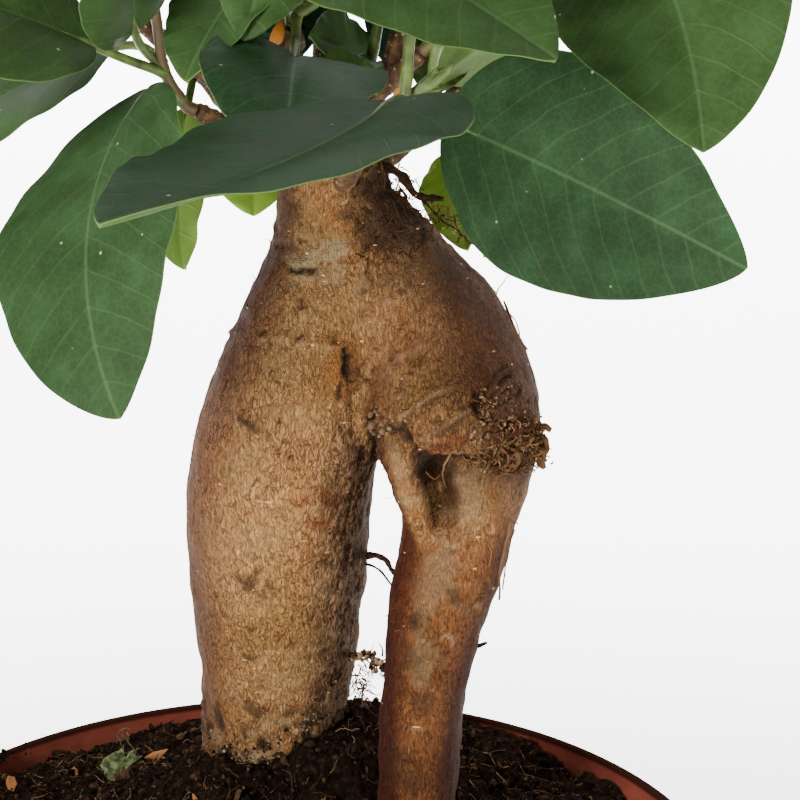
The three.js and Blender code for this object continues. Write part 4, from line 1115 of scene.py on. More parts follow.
def grow_crown():
    """The shoots with their stems and leaves: those given above, then more by the growth rule, in turn."""
    draw = Draws(20251)
    taken = np.zeros((0, 3))
    shoots = []
    for name, shoot in SHOOTS.items():
        wood = np.array(shoot["wood"], float)
        direction = curve_direction(wood, 1)
        foot = smooth_curve(wood, 1)[0] + SEAT_GAP * direction
        stem = np.vstack([foot, foot + 2 * direction, shoot["stem"]])
        leaves = [{**leaf, "from": smooth_curve(stem, leaf["at"])[0]} for leaf in shoot["leaves"]]
        bends = [smooth_curve(wood, np.arange(13) / 12), smooth_curve(stem, np.arange(25) / 24)]
        taken = np.vstack([taken, *bends, *(part for leaf in leaves for part in feelers(leaf))])
        brown = shoot.get("brown", 0.45)
        shoots.append({"name": name, "wood": wood, "stem": stem, "leaves": leaves, "brown": brown})
    for i in range(LEAVES_A_SHOOT):
        for order, shoot in enumerate(shoots):
            at = 0.25 + 0.75 * i / (LEAVES_A_SHOOT - 1)
            leaf = grown_leaf(shoot["stem"], at, SPIRAL_TURN * (i + 2 * order), taken, draw)
            if leaf is not None:
                shoot["leaves"].append(leaf)
                taken = np.vstack([taken, *feelers(leaf)])
    return shoots


# More small leaves deep in the crown: the shoot, the share of its stem where the stalk starts, the pixel and
# the depth of the blade's foot and of its tip, the way that it faces, and its width
INNER_LEAVES = [
    ("top_left", 0.12, (280, -28), 33, (290, 64), 31, (0.1, -0.95, 0.3), 12),
    ("right", 0.12, (450, 14), 25, (426, 94), 21, (0, 0.85, 0.5), 12),
    ("middle", 0.1, (306, 86), 15, (380, 84), 13, (0.1, -0.75, 0.65), 11.5),
    ("middle", 0.12, (258, 12), 24, (232, 66), 22, (-0.2, -0.9, 0.4), 10),
    ("top_right", 0.1, (396, -20), 36, (384, 62), 34, (0.1, -0.9, 0.4), 9),
]


def add_inner_leaves(shoots):
    """Hangs the small inner leaves on their shoots."""
    for order, (name, at, foot, foot_depth, tip, tip_depth, face, width) in enumerate(INNER_LEAVES):
        shoot = next(shoot for shoot in shoots if shoot["name"] == name)
        start = smooth_curve(shoot["stem"], at)[0]
        base, end = at_depth(foot, foot_depth), at_depth(tip, tip_depth)
        leaf = {"at": at, "from": start, "base": base, "tip": end, "face": face, "width": width, "arch": 0.45}
        leaf["sway"] = 0.3 * (-1) ** order
        leaf["tint"] = 0.15 * (order == 2)
        shoot["leaves"].append(leaf)


def leaf_surface(leaf, rows, lanes, order):
    """A closed thin blade: a ring of points round each station of the midrib, upper face first, that closes
    on one point at the base and one at the tip. The margin waves gently, and the midrib is sunk above and
    stands out below. Beside the midrib it is 0.56 mm thick, and 0.12 mm at the margin."""
    u = (1 - np.cos(np.pi * np.linspace(0.02, 0.985, rows))) / 2
    v = np.sin(np.pi / 2 * np.linspace(-1, 1, lanes))
    U, V = np.meshgrid(u, v, indexing="ij")
    middle, face, half = blade(leaf, U, V, TIP_FULLNESS)
    across = V * half
    along = U * np.linalg.norm(np.subtract(leaf["tip"], leaf["base"]))
    wave = 0.5 * np.abs(V) ** 2.5 * np.sin(2 * np.pi * (2.3 * U + 0.37 * order) + 1.5 * np.sign(V))
    wave += 0.16 * np.abs(V) ** 2 * np.sin(2 * np.pi * (7.0 * U + 0.61 * order + 0.2 * np.sign(V)))
    middle = middle + face * (wave * ease(0, 0.15, U) * ease(1, 0.9, U))[..., None]
    thick = 0.06 + 0.22 * np.sqrt(np.clip(1 - V**2, 0, 1))
    taper = 1 - 0.6 * U
    rib = np.exp(-((across / (0.55 * taper + 0.15)) ** 2)) * taper
    upper = middle + face * (thick - 0.22 * rib)[..., None]
    lower = middle - face * (thick + 0.35 * rib)[..., None]
    ring = np.concatenate([upper, lower[:, ::-1]], axis=1)
    ends = blade(leaf, np.array([0.0, 1.0]), np.zeros(2))[0]
    sides = 2 * lanes
    points = np.vstack([ring.reshape(-1, 3), ends])
    number = rows * sides
    around = np.arange(sides)
    after = (around + 1) % sides
    first = np.stack([np.full(sides, number), after, around], -1)
    last = np.stack([np.full(sides, number + 1), (rows - 1) * sides + around, (rows - 1) * sides + after], -1)
    faces = [grid_faces(rows, sides, closed=True), np.vstack([first, last])]
    values = {}
    for name, above, below, ends in (
        ("across", across, across, [0, 0]),
        ("along", along, along, [0, along.max()]),
        ("margin", np.abs(V), np.abs(V), [0, 1]),
        ("under", np.zeros_like(V), np.ones_like(V), [0.5, 0.5]),
    ):
        values[name] = np.concatenate([np.concatenate([above, below[:, ::-1]], axis=1).ravel(), ends])
    return points, faces, values


def make_shoot(shoot, leaf_look, stem_look):
    """One piece for the blades of a shoot, and one for its stem and stalks."""
    points, faces, values, start = [], [], {}, 0
    draw = Draws(701 + len(shoot["name"]))
    for order, leaf in enumerate(shoot["leaves"]):
        given = "at" in leaf
        rows, lanes = (72, 29) if given else (30, 13)
        part, kinds, marks = leaf_surface(leaf, rows, lanes, order + len(shoot["name"]))
        marks["tint"] = np.full(len(part), draw(0, 0.5) if not given else leaf.get("tint", 0.1))
        points.append(part)
        faces.extend(kind + start for kind in kinds)
        for key, value in marks.items():
            values.setdefault(key, []).append(value)
        start += len(part)
    values = {key: np.concatenate(value) for key, value in values.items()}
    name = shoot["name"]
    node = "shoot_" + name
    add_piece(node + "_leaves", np.vstack(points), faces, leaf_look, "leaf", [node], **values)
    count = 28
    shares = np.linspace(0, 1, count)
    nodes = 0.12 * np.exp(-(((shares * 6) % 1 - 0.5) / 0.12) ** 2)
    parts = [tubes([smooth_curve(shoot["stem"], shares)], SHOOT_RADIUS * (1 - 0.4 * shares) + nodes, 10)]
    woody = [np.repeat(ease(shoot["brown"], shoot["brown"] - 0.4, shares), 10)]
    for leaf in shoot["leaves"]:
        t = np.linspace(0, 1, 14)
        radius = PETIOLE_RADIUS * (1 - 0.15 * t) + 0.3 * np.exp(-((t / 0.08) ** 2)) - 0.45 * ease(0.8, 1, t)
        parts.append(tubes([stalk(leaf, t)], radius, 8))
        woody.append(np.zeros(14 * 8))
    points, faces = tubes_together(parts)
    add_piece(node + "_stems", points, faces, stem_look, "leaf", woody=np.concatenate(woody))


# Young buds by the front stem's foot, at its depth: pixels along each from the foot to the point
BUDS = [
    [(408, 98), (418, 90), (430, 78), (438, 66)],
    [(412, 95), (428, 86), (444, 74), (452, 64)],
    [(410, 100), (421, 97), (433, 93), (441, 88)],
]
BUD_DEPTH = -14.5
# Orange scales that wrap a node of the front stem and the tip of the middle one: depth, and pixels along each
BUD_SCALES = [(-14.6, (399, 102), (402, 95), (406, 87)), (8.2, (277, 57), (278, 40), (281, 22))]


def make_buds(finish, scale_finish):
    """Closed buds and scales: slim spears, widest below the middle and drawn out to a point."""
    shares = np.linspace(0, 1, 16)
    paths = np.stack([smooth_curve([at_depth(pixel, BUD_DEPTH) for pixel in bud], shares) for bud in BUDS])
    radius = 0.95 * np.sin(np.pi * (0.14 + 0.84 * shares)) ** 0.8 * (1 - 0.35 * shares)
    points, faces = tubes_together([tubes(paths, radius, 10)])
    foot = np.tile(np.repeat(ease(0.2, 0.0, shares), 10), len(BUDS))
    add_piece("buds", points, faces, finish, "leaf", woody=foot)
    knots = [[at_depth(pixel, depth) for pixel in pixels] for depth, *pixels in BUD_SCALES]
    paths = np.stack([smooth_curve(line, shares) for line in knots])
    radius = 1.25 * np.sin(np.pi * (0.1 + 0.87 * shares)) ** 0.7
    points, faces = tubes_together([tubes(paths, radius, 12)])
    add_piece("bud_scales", points, faces, scale_finish, "leaf", shade=0.6)


def make_branches(shoots, finish):
    """The brown wood of each shoot, thicker at its foot, with rings where leaves once stood."""
    shares = np.linspace(0, 1, 40)
    parts = []
    for order, shoot in enumerate(shoots):
        path = smooth_curve(shoot["wood"], shares)
        path = path + 0.25 * drift(path, 4, 20)
        rings = 0.18 * np.exp(-(((shares * 5 + 0.3 * order) % 1 - 0.5) / 0.1) ** 2)
        parts.append(tubes([path], 1.95 - 0.75 * shares + rings, 12))
    points, faces = tubes_together(parts)
    add_piece("branches", points, faces, finish, "bark")


# Pot and peat

def floor_wedge(middle, height, outer, turned_over):
    """One eighth of the pot's floor round a drain hole: quads from the hole to the wedge's outline. The
    outline is an arc at the wall, an arc round the plain middle and two straight sides."""
    half = np.pi / DRAIN_HOLES
    wall = middle + np.linspace(-half, half, WALL_STEPS + 1)
    centre = middle + np.linspace(half, -half, MIDDLE_STEPS + 1)
    side = np.linspace(outer, FLOOR_MIDDLE, SIDE_STEPS + 1)[1:-1]
    there, back = np.full(len(side), middle + half), np.full(len(side), middle - half)
    angle = np.concatenate([wall, there, centre, back])
    reach = np.concatenate([np.full(len(wall), outer), side, np.full(len(centre), FLOOR_MIDDLE), side[::-1]])
    outline = reach[:, None] * compass(angle)
    hole = DRAIN_CIRCLE * compass(middle)
    edge = hole + DRAIN_RADIUS * unit(outline - hole)
    rings = np.concatenate([edge, outline])
    quads = grid_faces(2, len(outline), closed=True)
    points = np.concatenate([rings, np.full((len(rings), 1), height)], -1)
    return points, quads if turned_over else quads[:, ::-1]


def make_pot(finish):
    """A turned shell: its outline, rounded at the rim, is carried round the axis, and its floor has holes."""
    collar = -COLLAR_HEIGHT
    lip = 1.1
    top = np.linspace(0, math.pi, 9)
    rim = [(RIM_RADIUS - lip + lip * math.cos(a), -lip + lip * math.sin(a)) for a in top]
    foot, inside = BASE_RADIUS - 1.5, BASE_RADIUS - WALL
    under, above = -POT_HEIGHT, FLOOR - POT_HEIGHT
    outline = [
        (foot, under), (BASE_RADIUS - 0.4, 0.4 - POT_HEIGHT), (BASE_RADIUS, 1.2 - POT_HEIGHT),
        (WALL_RADIUS_TOP - 0.1, collar - 2.2), (WALL_RADIUS_TOP + 0.3, collar - 1.7),
        (RIM_RADIUS - 2.2, collar - 0.2), (RIM_RADIUS - 1.8, collar + 0.4), (RIM_RADIUS - 0.7, -3.2),
        (RIM_RADIUS, -2.4), *rim, (RIM_RADIUS - 2.6, -2.2), (RIM_RADIUS - 2.9, -3.0),
        (RIM_RADIUS - 2.3 - WALL, collar + 1), (WALL_RADIUS_TOP - WALL, collar - 2.5), (inside, above),
    ]
    outline = np.array(outline)
    sectors = WALL_STEPS * DRAIN_HOLES
    ring = compass(2 * np.pi * (np.arange(sectors) + WALL_STEPS // 2) / sectors)
    heights = np.repeat(outline[:, None, 1:], sectors, 1)
    wall = np.concatenate([outline[:, None, :1] * ring[None], heights], axis=-1)
    points, start = [wall.reshape(-1, 3)], wall.size // 3
    quads = [grid_faces(len(outline), sectors, closed=True)]
    for middle in 2 * np.pi * np.arange(DRAIN_HOLES) / DRAIN_HOLES:
        low, low_faces = floor_wedge(middle, under, foot, False)
        high, high_faces = floor_wedge(middle, above, inside, True)
        count = len(low) // 2
        points += [low, high]
        step = 2 * count
        bore = grid_faces(2, count, closed=True)
        bore = np.where(bore < count, bore, bore + count)
        quads += [low_faces + start, high_faces + start + step, bore[:, ::-1] + start]
        start += 2 * step
    count = MIDDLE_STEPS * DRAIN_HOLES
    centre = FLOOR_MIDDLE * compass(2 * np.pi * (np.arange(count) + MIDDLE_STEPS // 2) / count)
    for height in (under, above):
        points.append(np.concatenate([centre, np.full((count, 1), height)], -1))
    caps = np.stack([np.arange(count)[::-1] + start, np.arange(count) + start + count])
    points, number = np.unique(np.round(np.vstack(points), 4), axis=0, return_inverse=True)
    number = number.ravel()
    add_piece("pot_shell", points, [number[np.vstack(quads)], number[caps]], finish, "pot", ["pot"])


def heaped(height, heaps, x, y):
    """The height with bell-shaped heaps on it, each by its centre, its rise and its reach."""
    for centre, rise, reach in heaps:
        height = height + rise * np.exp(-((x - centre[0]) ** 2 + (y - centre[1]) ** 2) / reach**2)
    return height


def soil_top(x, y):
    """Height of the peat: level a little below the rim, heaped round the legs, with slow lumps."""
    coarse = np.sin(0.31 * x + 1.3) * np.cos(0.27 * y - 0.4) + np.sin(0.19 * x - 0.23 * y)
    fine = np.sin(0.83 * x + 0.4 * y) * np.sin(0.71 * y - 0.2 * x + 2)
    return heaped(-SOIL_BELOW_RIM + 0.75 * coarse + 0.55 * fine, HEAPS, x, y)


def peat_height(x, y):
    """Height of the crumbly surface: the peat with its last handfuls and lumps, held low along the rim."""
    place = np.stack([x, y, np.zeros_like(x)], -1)
    z = heaped(soil_top(x, y), HANDFULS, x, y)
    z = z + 1.0 * noise(place, 3.4, 31) + 0.9 * np.abs(noise(place, 1.5, 32)) + 0.35 * noise(place, 0.8, 33)
    rim_level = heaped(-0.2, [SPILL], x, y) + 0.6 * noise(place, 1.5, 34)
    return np.where(np.hypot(x, y) > 62, np.minimum(z, rim_level), z)


def make_peat(finish):
    """A closed plug: rings of points over the heaped and crumbly top, then down the wall to the floor."""
    sectors = 300
    top_radius = RIM_RADIUS - 2.7 - SEAT_GAP - 0.5
    radii = top_radius * np.linspace(0.01, 1, 130)
    angle = 2 * np.pi * np.arange(sectors) / sectors
    x, y = radii[:, None] * np.cos(angle), radii[:, None] * np.sin(angle)
    rings = [np.stack([x, y, peat_height(x, y)], -1)]
    for radius, height in (
        (RIM_RADIUS - 2.3 - WALL - SEAT_GAP, 1.2 - COLLAR_HEIGHT),
        (WALL_RADIUS_TOP - WALL - SEAT_GAP, -COLLAR_HEIGHT - 2.6),
        (BASE_RADIUS - WALL - SEAT_GAP, FLOOR + SEAT_GAP - POT_HEIGHT),
    ):
        ring = np.stack([radius * np.cos(angle), radius * np.sin(angle), np.full(sectors, height)], -1)
        rings.append(ring[None])
    points = np.concatenate(rings)
    count = len(points)
    quads = grid_faces(count, sectors, closed=True)[:, ::-1]
    ends = [np.array([np.arange(sectors)]), np.array([((count - 1) * sectors + np.arange(sectors))[::-1]])]
    add_piece("peat", points.reshape(-1, 3), [quads, *ends], finish, "soil", ["soil"])


# Loose things: crumbs, fibres, thin roots, granules and pores

def crumbs(places, sizes, rng, squash=0.75):
    """Twenty-sided lumps with 12 corners, each stretched and turned at random. Gives points and triangles."""
    golden = (1 + 5**0.5) / 2
    shell = np.array([(a, b * golden, 0) for a in (-1, 1) for b in (-1, 1)], float)
    shell = np.vstack([np.roll(shell, turn, axis=1) for turn in range(3)])
    shell /= np.linalg.norm(shell[0])
    near = ((shell[:, None] - shell[None]) ** 2).sum(-1) < 1.2
    triples = [
        (i, j, k) for i in range(12) for j in range(i + 1, 12) for k in range(j + 1, 12)
        if near[i, j] and near[j, k] and near[i, k]
    ]
    a, b, c = (shell[[t[n] for t in triples]] for n in range(3))
    outward = (np.cross(b - a, c - a) * a).sum(-1) > 0
    triples = np.array([t if out else t[::-1] for t, out in zip(triples, outward)])
    count = len(places)
    turn = unit(rng.normal(size=(count, 3)))
    side = unit(np.cross(turn, rng.normal(size=(count, 3))))
    axes = np.stack([turn, side, np.cross(turn, side)], 1)
    stretch = rng.uniform([0.8, squash, 0.5], [1.4, 1.0, 0.9], (count, 3))
    bumps = rng.uniform(0.75, 1.2, (count, 12, 1))
    points = np.einsum("vk,nk,nkj->nvj", shell, stretch, axes) * bumps * np.reshape(sizes, (-1, 1, 1))
    points = points + np.asarray(places)[:, None]
    faces = triples[None] + 12 * np.arange(count)[:, None, None]
    return points.reshape(-1, 3), faces.reshape(-1, 3)


def strewn(rng, count, reach):
    """Distances from the axis and angles of places spread evenly over a disc: a distance goes as the square
    root of an even draw."""
    distance = reach * np.sqrt(rng.uniform(0, 1, count))
    return distance, rng.uniform(0, 2 * np.pi, count)


def wandering(starts, headings, length, steps, curl, rng, drop=0.0):
    """Paths that set off in their headings and wander: each step's direction is turned from the last one's by
    a random amount, about as much as the curl, and the whole path is pulled down by drop."""
    count = len(starts)
    turns = np.cumsum(rng.normal(size=(count, steps - 1, 3)) * curl, axis=1)
    ways = unit(np.asarray(headings)[:, None] + turns - [0, 0, drop])
    stride = np.broadcast_to(np.asarray(length, float), (count,))[:, None, None] / (steps - 1)
    moves = np.cumsum(ways * stride, axis=1)
    return np.concatenate([np.asarray(starts)[:, None], np.asarray(starts)[:, None] + moves], axis=1)


# Peat crumbs: name, how many, the middle radius as a natural logarithm, and the least and greatest radius
PEAT_CRUMBS = [("coarse", 4200, -0.8, 0.25, 1.3), ("fine", 7000, -1.45, 0.12, 0.4)]
PEAT_REACH = 66.5
SPILT = 260


def make_crumbs(finish):
    """Peat crumbs all over the top of the plug, with finer ones between them, the first of each spilt on the
    rim."""
    rng = np.random.default_rng(7)
    for name, count, middle, least, most in PEAT_CRUMBS:
        radius, angle = strewn(rng, count, PEAT_REACH)
        x, y = radius * np.cos(angle), radius * np.sin(angle)
        sizes = np.clip(np.exp(rng.normal(middle, 0.45, count)), least, most)
        z = peat_height(x, y) + sizes * rng.uniform(-0.1, 0.7, count)
        out = rng.uniform(64.5, 69.4, SPILT)
        around = rng.normal(2.62, 0.09, SPILT)
        x[:SPILT], y[:SPILT] = out * np.cos(around), out * np.sin(around)
        sizes[:SPILT] *= 0.7
        z[:SPILT] = sizes[:SPILT] * 0.4 + rng.uniform(0, 1.2, SPILT) * ease(69.5, 66, out)
        points, faces = crumbs(np.stack([x, y, z], -1), sizes, rng)
        shade = 0.4 * rng.uniform(0, 1, count) ** 3 + 0.5 * (sizes < 0.5) * (rng.uniform(0, 1, count) < 0.02)
        shade = np.repeat(shade, 12)
        add_piece("peat_crumbs_" + name, points, [faces], finish, "soil", smooth=False, shade=shade)


def make_fibres(finish):
    """Root fibres that lie over the peat in loose curls: most are brown and fine, a few pale."""
    rng = np.random.default_rng(11)
    count, steps = 3000, 6
    radius, angle = strewn(rng, count, PEAT_REACH - 1.5)
    x, y = radius * np.cos(angle), radius * np.sin(angle)
    starts = np.stack([x, y, peat_height(x, y) + rng.uniform(0, 0.6, count)], -1)
    way = rng.uniform(0, 2 * np.pi, count)
    headings = np.stack([np.cos(way), np.sin(way), rng.uniform(-0.1, 0.3, count)], -1)
    length = np.clip(np.exp(rng.normal(1.1, 0.5, count)), 1.2, 11)
    paths = wandering(starts, headings, length, steps, 0.4, rng)
    reach = np.hypot(paths[..., 0], paths[..., 1])
    paths[..., :2] *= np.minimum(1, PEAT_REACH / reach)[..., None]
    ground = peat_height(paths[..., 0], paths[..., 1])
    paths[..., 2] = ground + np.clip(paths[..., 2] - ground, 0.05, 1.0)
    thick = np.clip(np.exp(rng.normal(-2.5, 0.35, count)), 0.05, 0.22)
    points, sides, caps = tubes(paths, thick[:, None] * np.linspace(1, 0.6, steps), 3)
    shade = np.repeat(rng.uniform(0, 0.85, count) ** 3, steps * 3)
    add_piece("peat_fibres", points, [sides, caps], finish, "soil", shade=shade)


# Thin roots that stand off the rootstock: end radii and the points along each
ROOTLETS = [
    (0.45, 0.4, [36, 9, 70.2], [38.5, 8, 71.2], [40.2, 7.8, 71.6], [41.4, 7.5, 71]),
    (0.8, 0.5, [35, 10, 68.5], [38.2, 8.8, 69.2], [40.3, 8, 69.5], [40.8, 8.2, 67.9], [39.8, 8, 66.2],
     [40.5, 7.8, 64.8]),
    (0.5, 0.35, [37, 8.5, 67.4], [39.6, 7.8, 67.8], [40.3, 7.6, 66.4], [39.6, 7.6, 65.2]),
    (0.5, 0.4, [12, 21, 45.6], [15, 15, 48], [17.5, 12, 46.5], [20, 10, 42.8]),
    (0.22, 0.14, [12, 21, 44.6], [15, 16, 45.2], [18, 12, 42.5]),
    (0.35, 0.3, [9, 22, 28], [13, 16, 30.5], [16, 12, 30], [20, 7, 27]),
    (0.4, 0.2, [26, 7.5, 35], [30, 7, 35.5], [32, 6.6, 36.4]),
    (1.1, 0.35, [11, 17, 110], [17.5, 16, 109], [21, 15.5, 105.5], [25, 15, 104.8]),
    (0.2, 0.12, [21, 15.5, 105.5], [24, 15, 102.5], [28, 14, 99.5], [33, 13, 96]),
]
# Roots and strands that cling to the bark: end radii, then pixels along each with the height above the bark
STRANDS = [
    (0.16, 0.12, (450, 452, 0.3), (445, 461, 0.9), (444, 472, 0.6), (447, 487, 0.2)),
    (0.4, 0.3, (506, 446, 0.3), (514, 451, 0.9), (516, 461, 0.6), (511, 466, 0.1)),
    (0.3, 0.2, (496, 446, 0.2), (505, 452, 0.8), (506, 461, 0.6), (500, 467, 0.3)),
    (0.2, 0.15, (470, 449, 0.2), (482, 451, 0.6), (494, 458, 0.7), (504, 468, 0.4)),
    (0.2, 0.12, (496, 477, 0.2), (504, 472, 0.6), (512, 472, 0.7), (519, 475, 0.4)),
    (0.12, 0.08, (493, 302, 0.0), (494, 293, 0.8), (497, 284, 2.0)),
    (0.2, 0.16, (502, 303, 0.3), (508, 319, 0.4), (514, 335, 0.5), (526, 350, 0.2)),
    (0.12, 0.1, (506, 312, 0.3), (514, 326, 0.5), (519, 340, 0.2)),
    (0.16, 0.12, (503, 508, 0.2), (509, 516, 0.6), (516, 524, 0.3)),
    (0.22, 0.16, (509, 520, 0.3), (504, 540, 0.5), (500, 556, 0.6), (497, 575, 0.5), (496, 598, 0.6)),
    (0.16, 0.12, (512, 528, 0.3), (506, 550, 0.5), (500, 570, 0.8), (498, 588, 0.8)),
    (0.14, 0.1, (486, 542, 0.2), (490, 552, 0.4), (488, 566, 0.2)),
    (0.12, 0.1, (493, 488, 0.2), (496, 503, 0.4), (493, 522, 0.2)),
    (0.12, 0.08, (425, 470, 0.3), (434, 476, 0.6), (441, 474, 0.2)),
]
# Patches where fine roots cling: the ends of a slanting band in pixels, its half height, how many, their
# length and their radius
ROOT_MATS = [
    ((484, 450), (536, 442), 13, 95, 3.0, 0.09),
    ((488, 463), (526, 467), 6, 40, 2.4, 0.08),
    ((470, 458), (490, 460), 4, 24, 2.2, 0.07),
    ((486, 428), (536, 422), 7, 40, 2.2, 0.07),
    ((479, 398), (486, 416), 6, 16, 1.8, 0.05),
    ((530, 440), (538, 452), 14, 60, 2.4, 0.08),
    ((398, 590), (396, 640), 8, 9, 2.0, 0.05),
]
# Tufts of root hairs: centre, spread in x, y and z, the way they hang, how many, length
TUFTS = [
    ((39, 8.2, 67), (1.4, 1.2, 2.0), (0.8, -0.5, -0.1), 40, 1.3),
    ((16.5, 16.5, 106), (3, 1.2, 2), (0.4, -0.3, -0.6), 110, 2.2),
    ((14.5, 14.5, 29.5), (2.6, 2.6, 0.6), (0, -0.4, -0.2), 40, 2.6),
    ((12.0, 18, 25), (0.8, 0.8, 1.6), (0.4, -0.6, -0.6), 26, 4.0),
    ((18.4, 10, 38), (0.8, 1.0, 3.0), (-1, -0.4, 0), 26, 2.2),
    ((26, 15, 102), (5, 0.8, 2.2), (0.4, -0.2, -0.5), 50, 2.4),
]
# The pixel at the rough side of the neck, where loose fibres lie thickest
NECK_PIXEL = (388, 212)
# Corky granules in the crotch between the legs: pixel and radius
GRANULES = [
    (374, 424, 0.8), (384, 431, 0.8), (380, 414, 0.7), (386, 412, 0.6), (394, 422, 0.6), (401, 418, 0.5),
    (375, 433, 0.5), (379, 421, 0.6), (388, 420, 0.6), (384, 407, 0.5), (378, 406, 0.45), (406, 420, 0.4),
    (390, 428, 0.5), (371, 414, 0.5), (398, 425, 0.4), (372, 430, 0.5), (383, 424, 0.5), (391, 416, 0.4),
    (376, 411, 0.4), (388, 434, 0.5), (380, 436, 0.45),
]
# Where finer granules cling: the first and last column and the first row of the clump below the belly, which
# rises to the right, and two corners of the hollow
CLUMP_COLUMNS = (470, 545)
CLUMP_ROW = 448
HOLLOW = ((479, 385), (515, 424))
# The line where the left leg goes into the peat: columns and rows
FOOT_COLUMNS = [206, 245, 276, 300, 345]
FOOT_ROWS = [752, 770, 768, 738, 702]
# Breathing pores that the photograph shows: pixel, half length and half height
LENTICELS = [
    (260, 501, 0.9, 0.3), (270, 502, 0.9, 0.3), (227, 534, 0.8, 0.25), (237, 536, 0.7, 0.25),
    (304, 541, 0.8, 0.2), (293, 600, 0.8, 0.3), (266, 668, 0.6, 0.22), (274, 672, 0.7, 0.22),
    (240, 355, 0.45, 0.4), (248, 356, 0.4, 0.35), (265, 358, 0.5, 0.25), (323, 275, 0.4, 0.3),
    (338, 275, 0.6, 0.35), (295, 262, 0.5, 0.4), (309, 254, 0.7, 0.25), (391, 301, 0.35, 0.35),
    (297, 372, 0.6, 0.35), (296, 382, 0.7, 0.35), (240, 493, 0.3, 0.25), (322, 473, 0.2, 0.2),
    (350, 560, 0.5, 0.2), (416, 727, 0.8, 0.18), (288, 320, 0.3, 0.25), (318, 330, 0.35, 0.25),
]
# Rows of pores along the rings round the shoulder: first and last pixel, how many
LENTICEL_ROWS = [((227, 331), (334, 347), 26), ((228, 344), (300, 351), 14)]


def cling(paths, lift):
    """Paths moved along the slope of the rootstock's form until they are `lift` mm above it."""
    places = paths.reshape(-1, 3)
    lift = np.broadcast_to(lift, paths.shape[:2]).ravel()
    for _ in range(2):
        places = places + way_out(places) * (lift - rootstock_depth(*places.T))[:, None]
    return places.reshape(paths.shape)


def make_roots(finish):
    """The thin roots, each knobbly and bent a little by noise, mats of finer ones that cling to the bark, and
    tufts of root hairs round the stubs."""
    parts, shades = [], []
    shares = np.linspace(0, 1, 22)
    for order, (first, last, *knots) in enumerate(ROOTLETS):
        path = smooth_curve(knots, shares)
        path = path + 0.3 * ease(0, 0.2, shares)[:, None] * drift(path, 1.8, 80)
        radius = (first + (last - first) * shares) * (1 + 0.4 * noise(path, 0.9, 84 + order))
        parts.append(tubes([path], radius, 10))
        shades.append(np.full(10 * len(shares), 0.3 if order < 3 else 0.05))
    for order, (first, last, *spots) in enumerate(STRANDS):
        found, out = seen_at([spot[:2] for spot in spots])
        path = smooth_curve(found + out * [[spot[2]] for spot in spots], shares)
        path = path + 0.12 * drift(path, 1.3, 90)
        radius = (first + (last - first) * shares) * (1 + 0.25 * noise(path, 0.8, 94 + order))
        parts.append(tubes([path], radius, 7))
        shades.append(np.full(7 * len(shares), 0.3 if 1 <= order <= 4 else 0.55))
    rng = np.random.default_rng(5)
    for first, last, half, count, length, thick in ROOT_MATS:
        share = rng.uniform(0, 1, (count, 1))
        pixels = np.array(first) + share * np.subtract(last, first)
        pixels = pixels + [0, half] * rng.uniform(-1, 1, (count, 1))
        found, out = seen_at(pixels)
        headings = unit(np.cross(out, rng.normal(size=(count, 3))))
        paths = wandering(found, headings, rng.uniform(0.4, 1.3, count) * length, 11, 0.5, rng)
        rise = rng.uniform(0.2, 1.0, (count, 1)) * np.sin(np.linspace(0.15, 3.0, 11))
        rise = rise * rng.uniform(0.6, 1.6, (count, 1))
        thickness = thick * rng.uniform(0.6, 1.8, (count, 1)) * np.linspace(1, 0.55, 11)
        parts.append(tubes(cling(paths, rise), thickness, 5))
        shades.append(np.repeat(rng.uniform(0, 0.85, count) ** 1.3, 55))
    for centre, spread, way, count, length in TUFTS:
        starts = centre + rng.normal(size=(count, 3)) * spread * 0.6
        headings = unit(np.array(way) + 0.7 * rng.normal(size=(count, 3)))
        paths = wandering(starts, headings, rng.uniform(0.5, 1.2, count) * length, 9, 0.42, rng, 0.15)
        parts.append(tubes(paths, np.linspace(0.12, 0.05, 9) * rng.uniform(0.7, 1.5, (count, 1)), 4))
        shades.append(np.repeat(rng.uniform(0.0, 0.4, count), 36))
    points, faces = tubes_together(parts)
    add_piece("thin_roots", points, faces, finish, "bark", shade=np.concatenate(shades))


def make_bark_fibres(points, normals, finish):
    """Loose fibres on the rough side of the neck and a few elsewhere: short curls that lie on the bark."""
    rng = np.random.default_rng(3)
    seen_neck = seen_at([NECK_PIXEL])[0][0]
    near_neck = np.flatnonzero((((points - seen_neck) / [6.5, 9, 9]) ** 2).sum(1) < 1)
    anywhere = np.flatnonzero(points[:, 2] > 60)
    pick = np.concatenate([rng.choice(near_neck, 420), rng.choice(anywhere, 200)])
    count = len(pick)
    along = unit(np.cross(normals[pick], rng.normal(size=(count, 3)) * [1, 1, 0.4]))
    starts = points[pick] - 0.05 * normals[pick]
    headings = unit(along + 0.2 * normals[pick])
    paths = wandering(starts, headings, rng.uniform(0.7, 2.2, count), 7, 0.3, rng)
    points, *faces = tubes(paths, np.linspace(0.08, 0.04, 7) * rng.uniform(0.7, 1.5, (count, 1)), 3)
    shade = np.repeat(rng.uniform(0, 0.5, count) ** 1.5, 21)
    add_piece("bark_fibres", points, faces, finish, "bark", shade=shade)


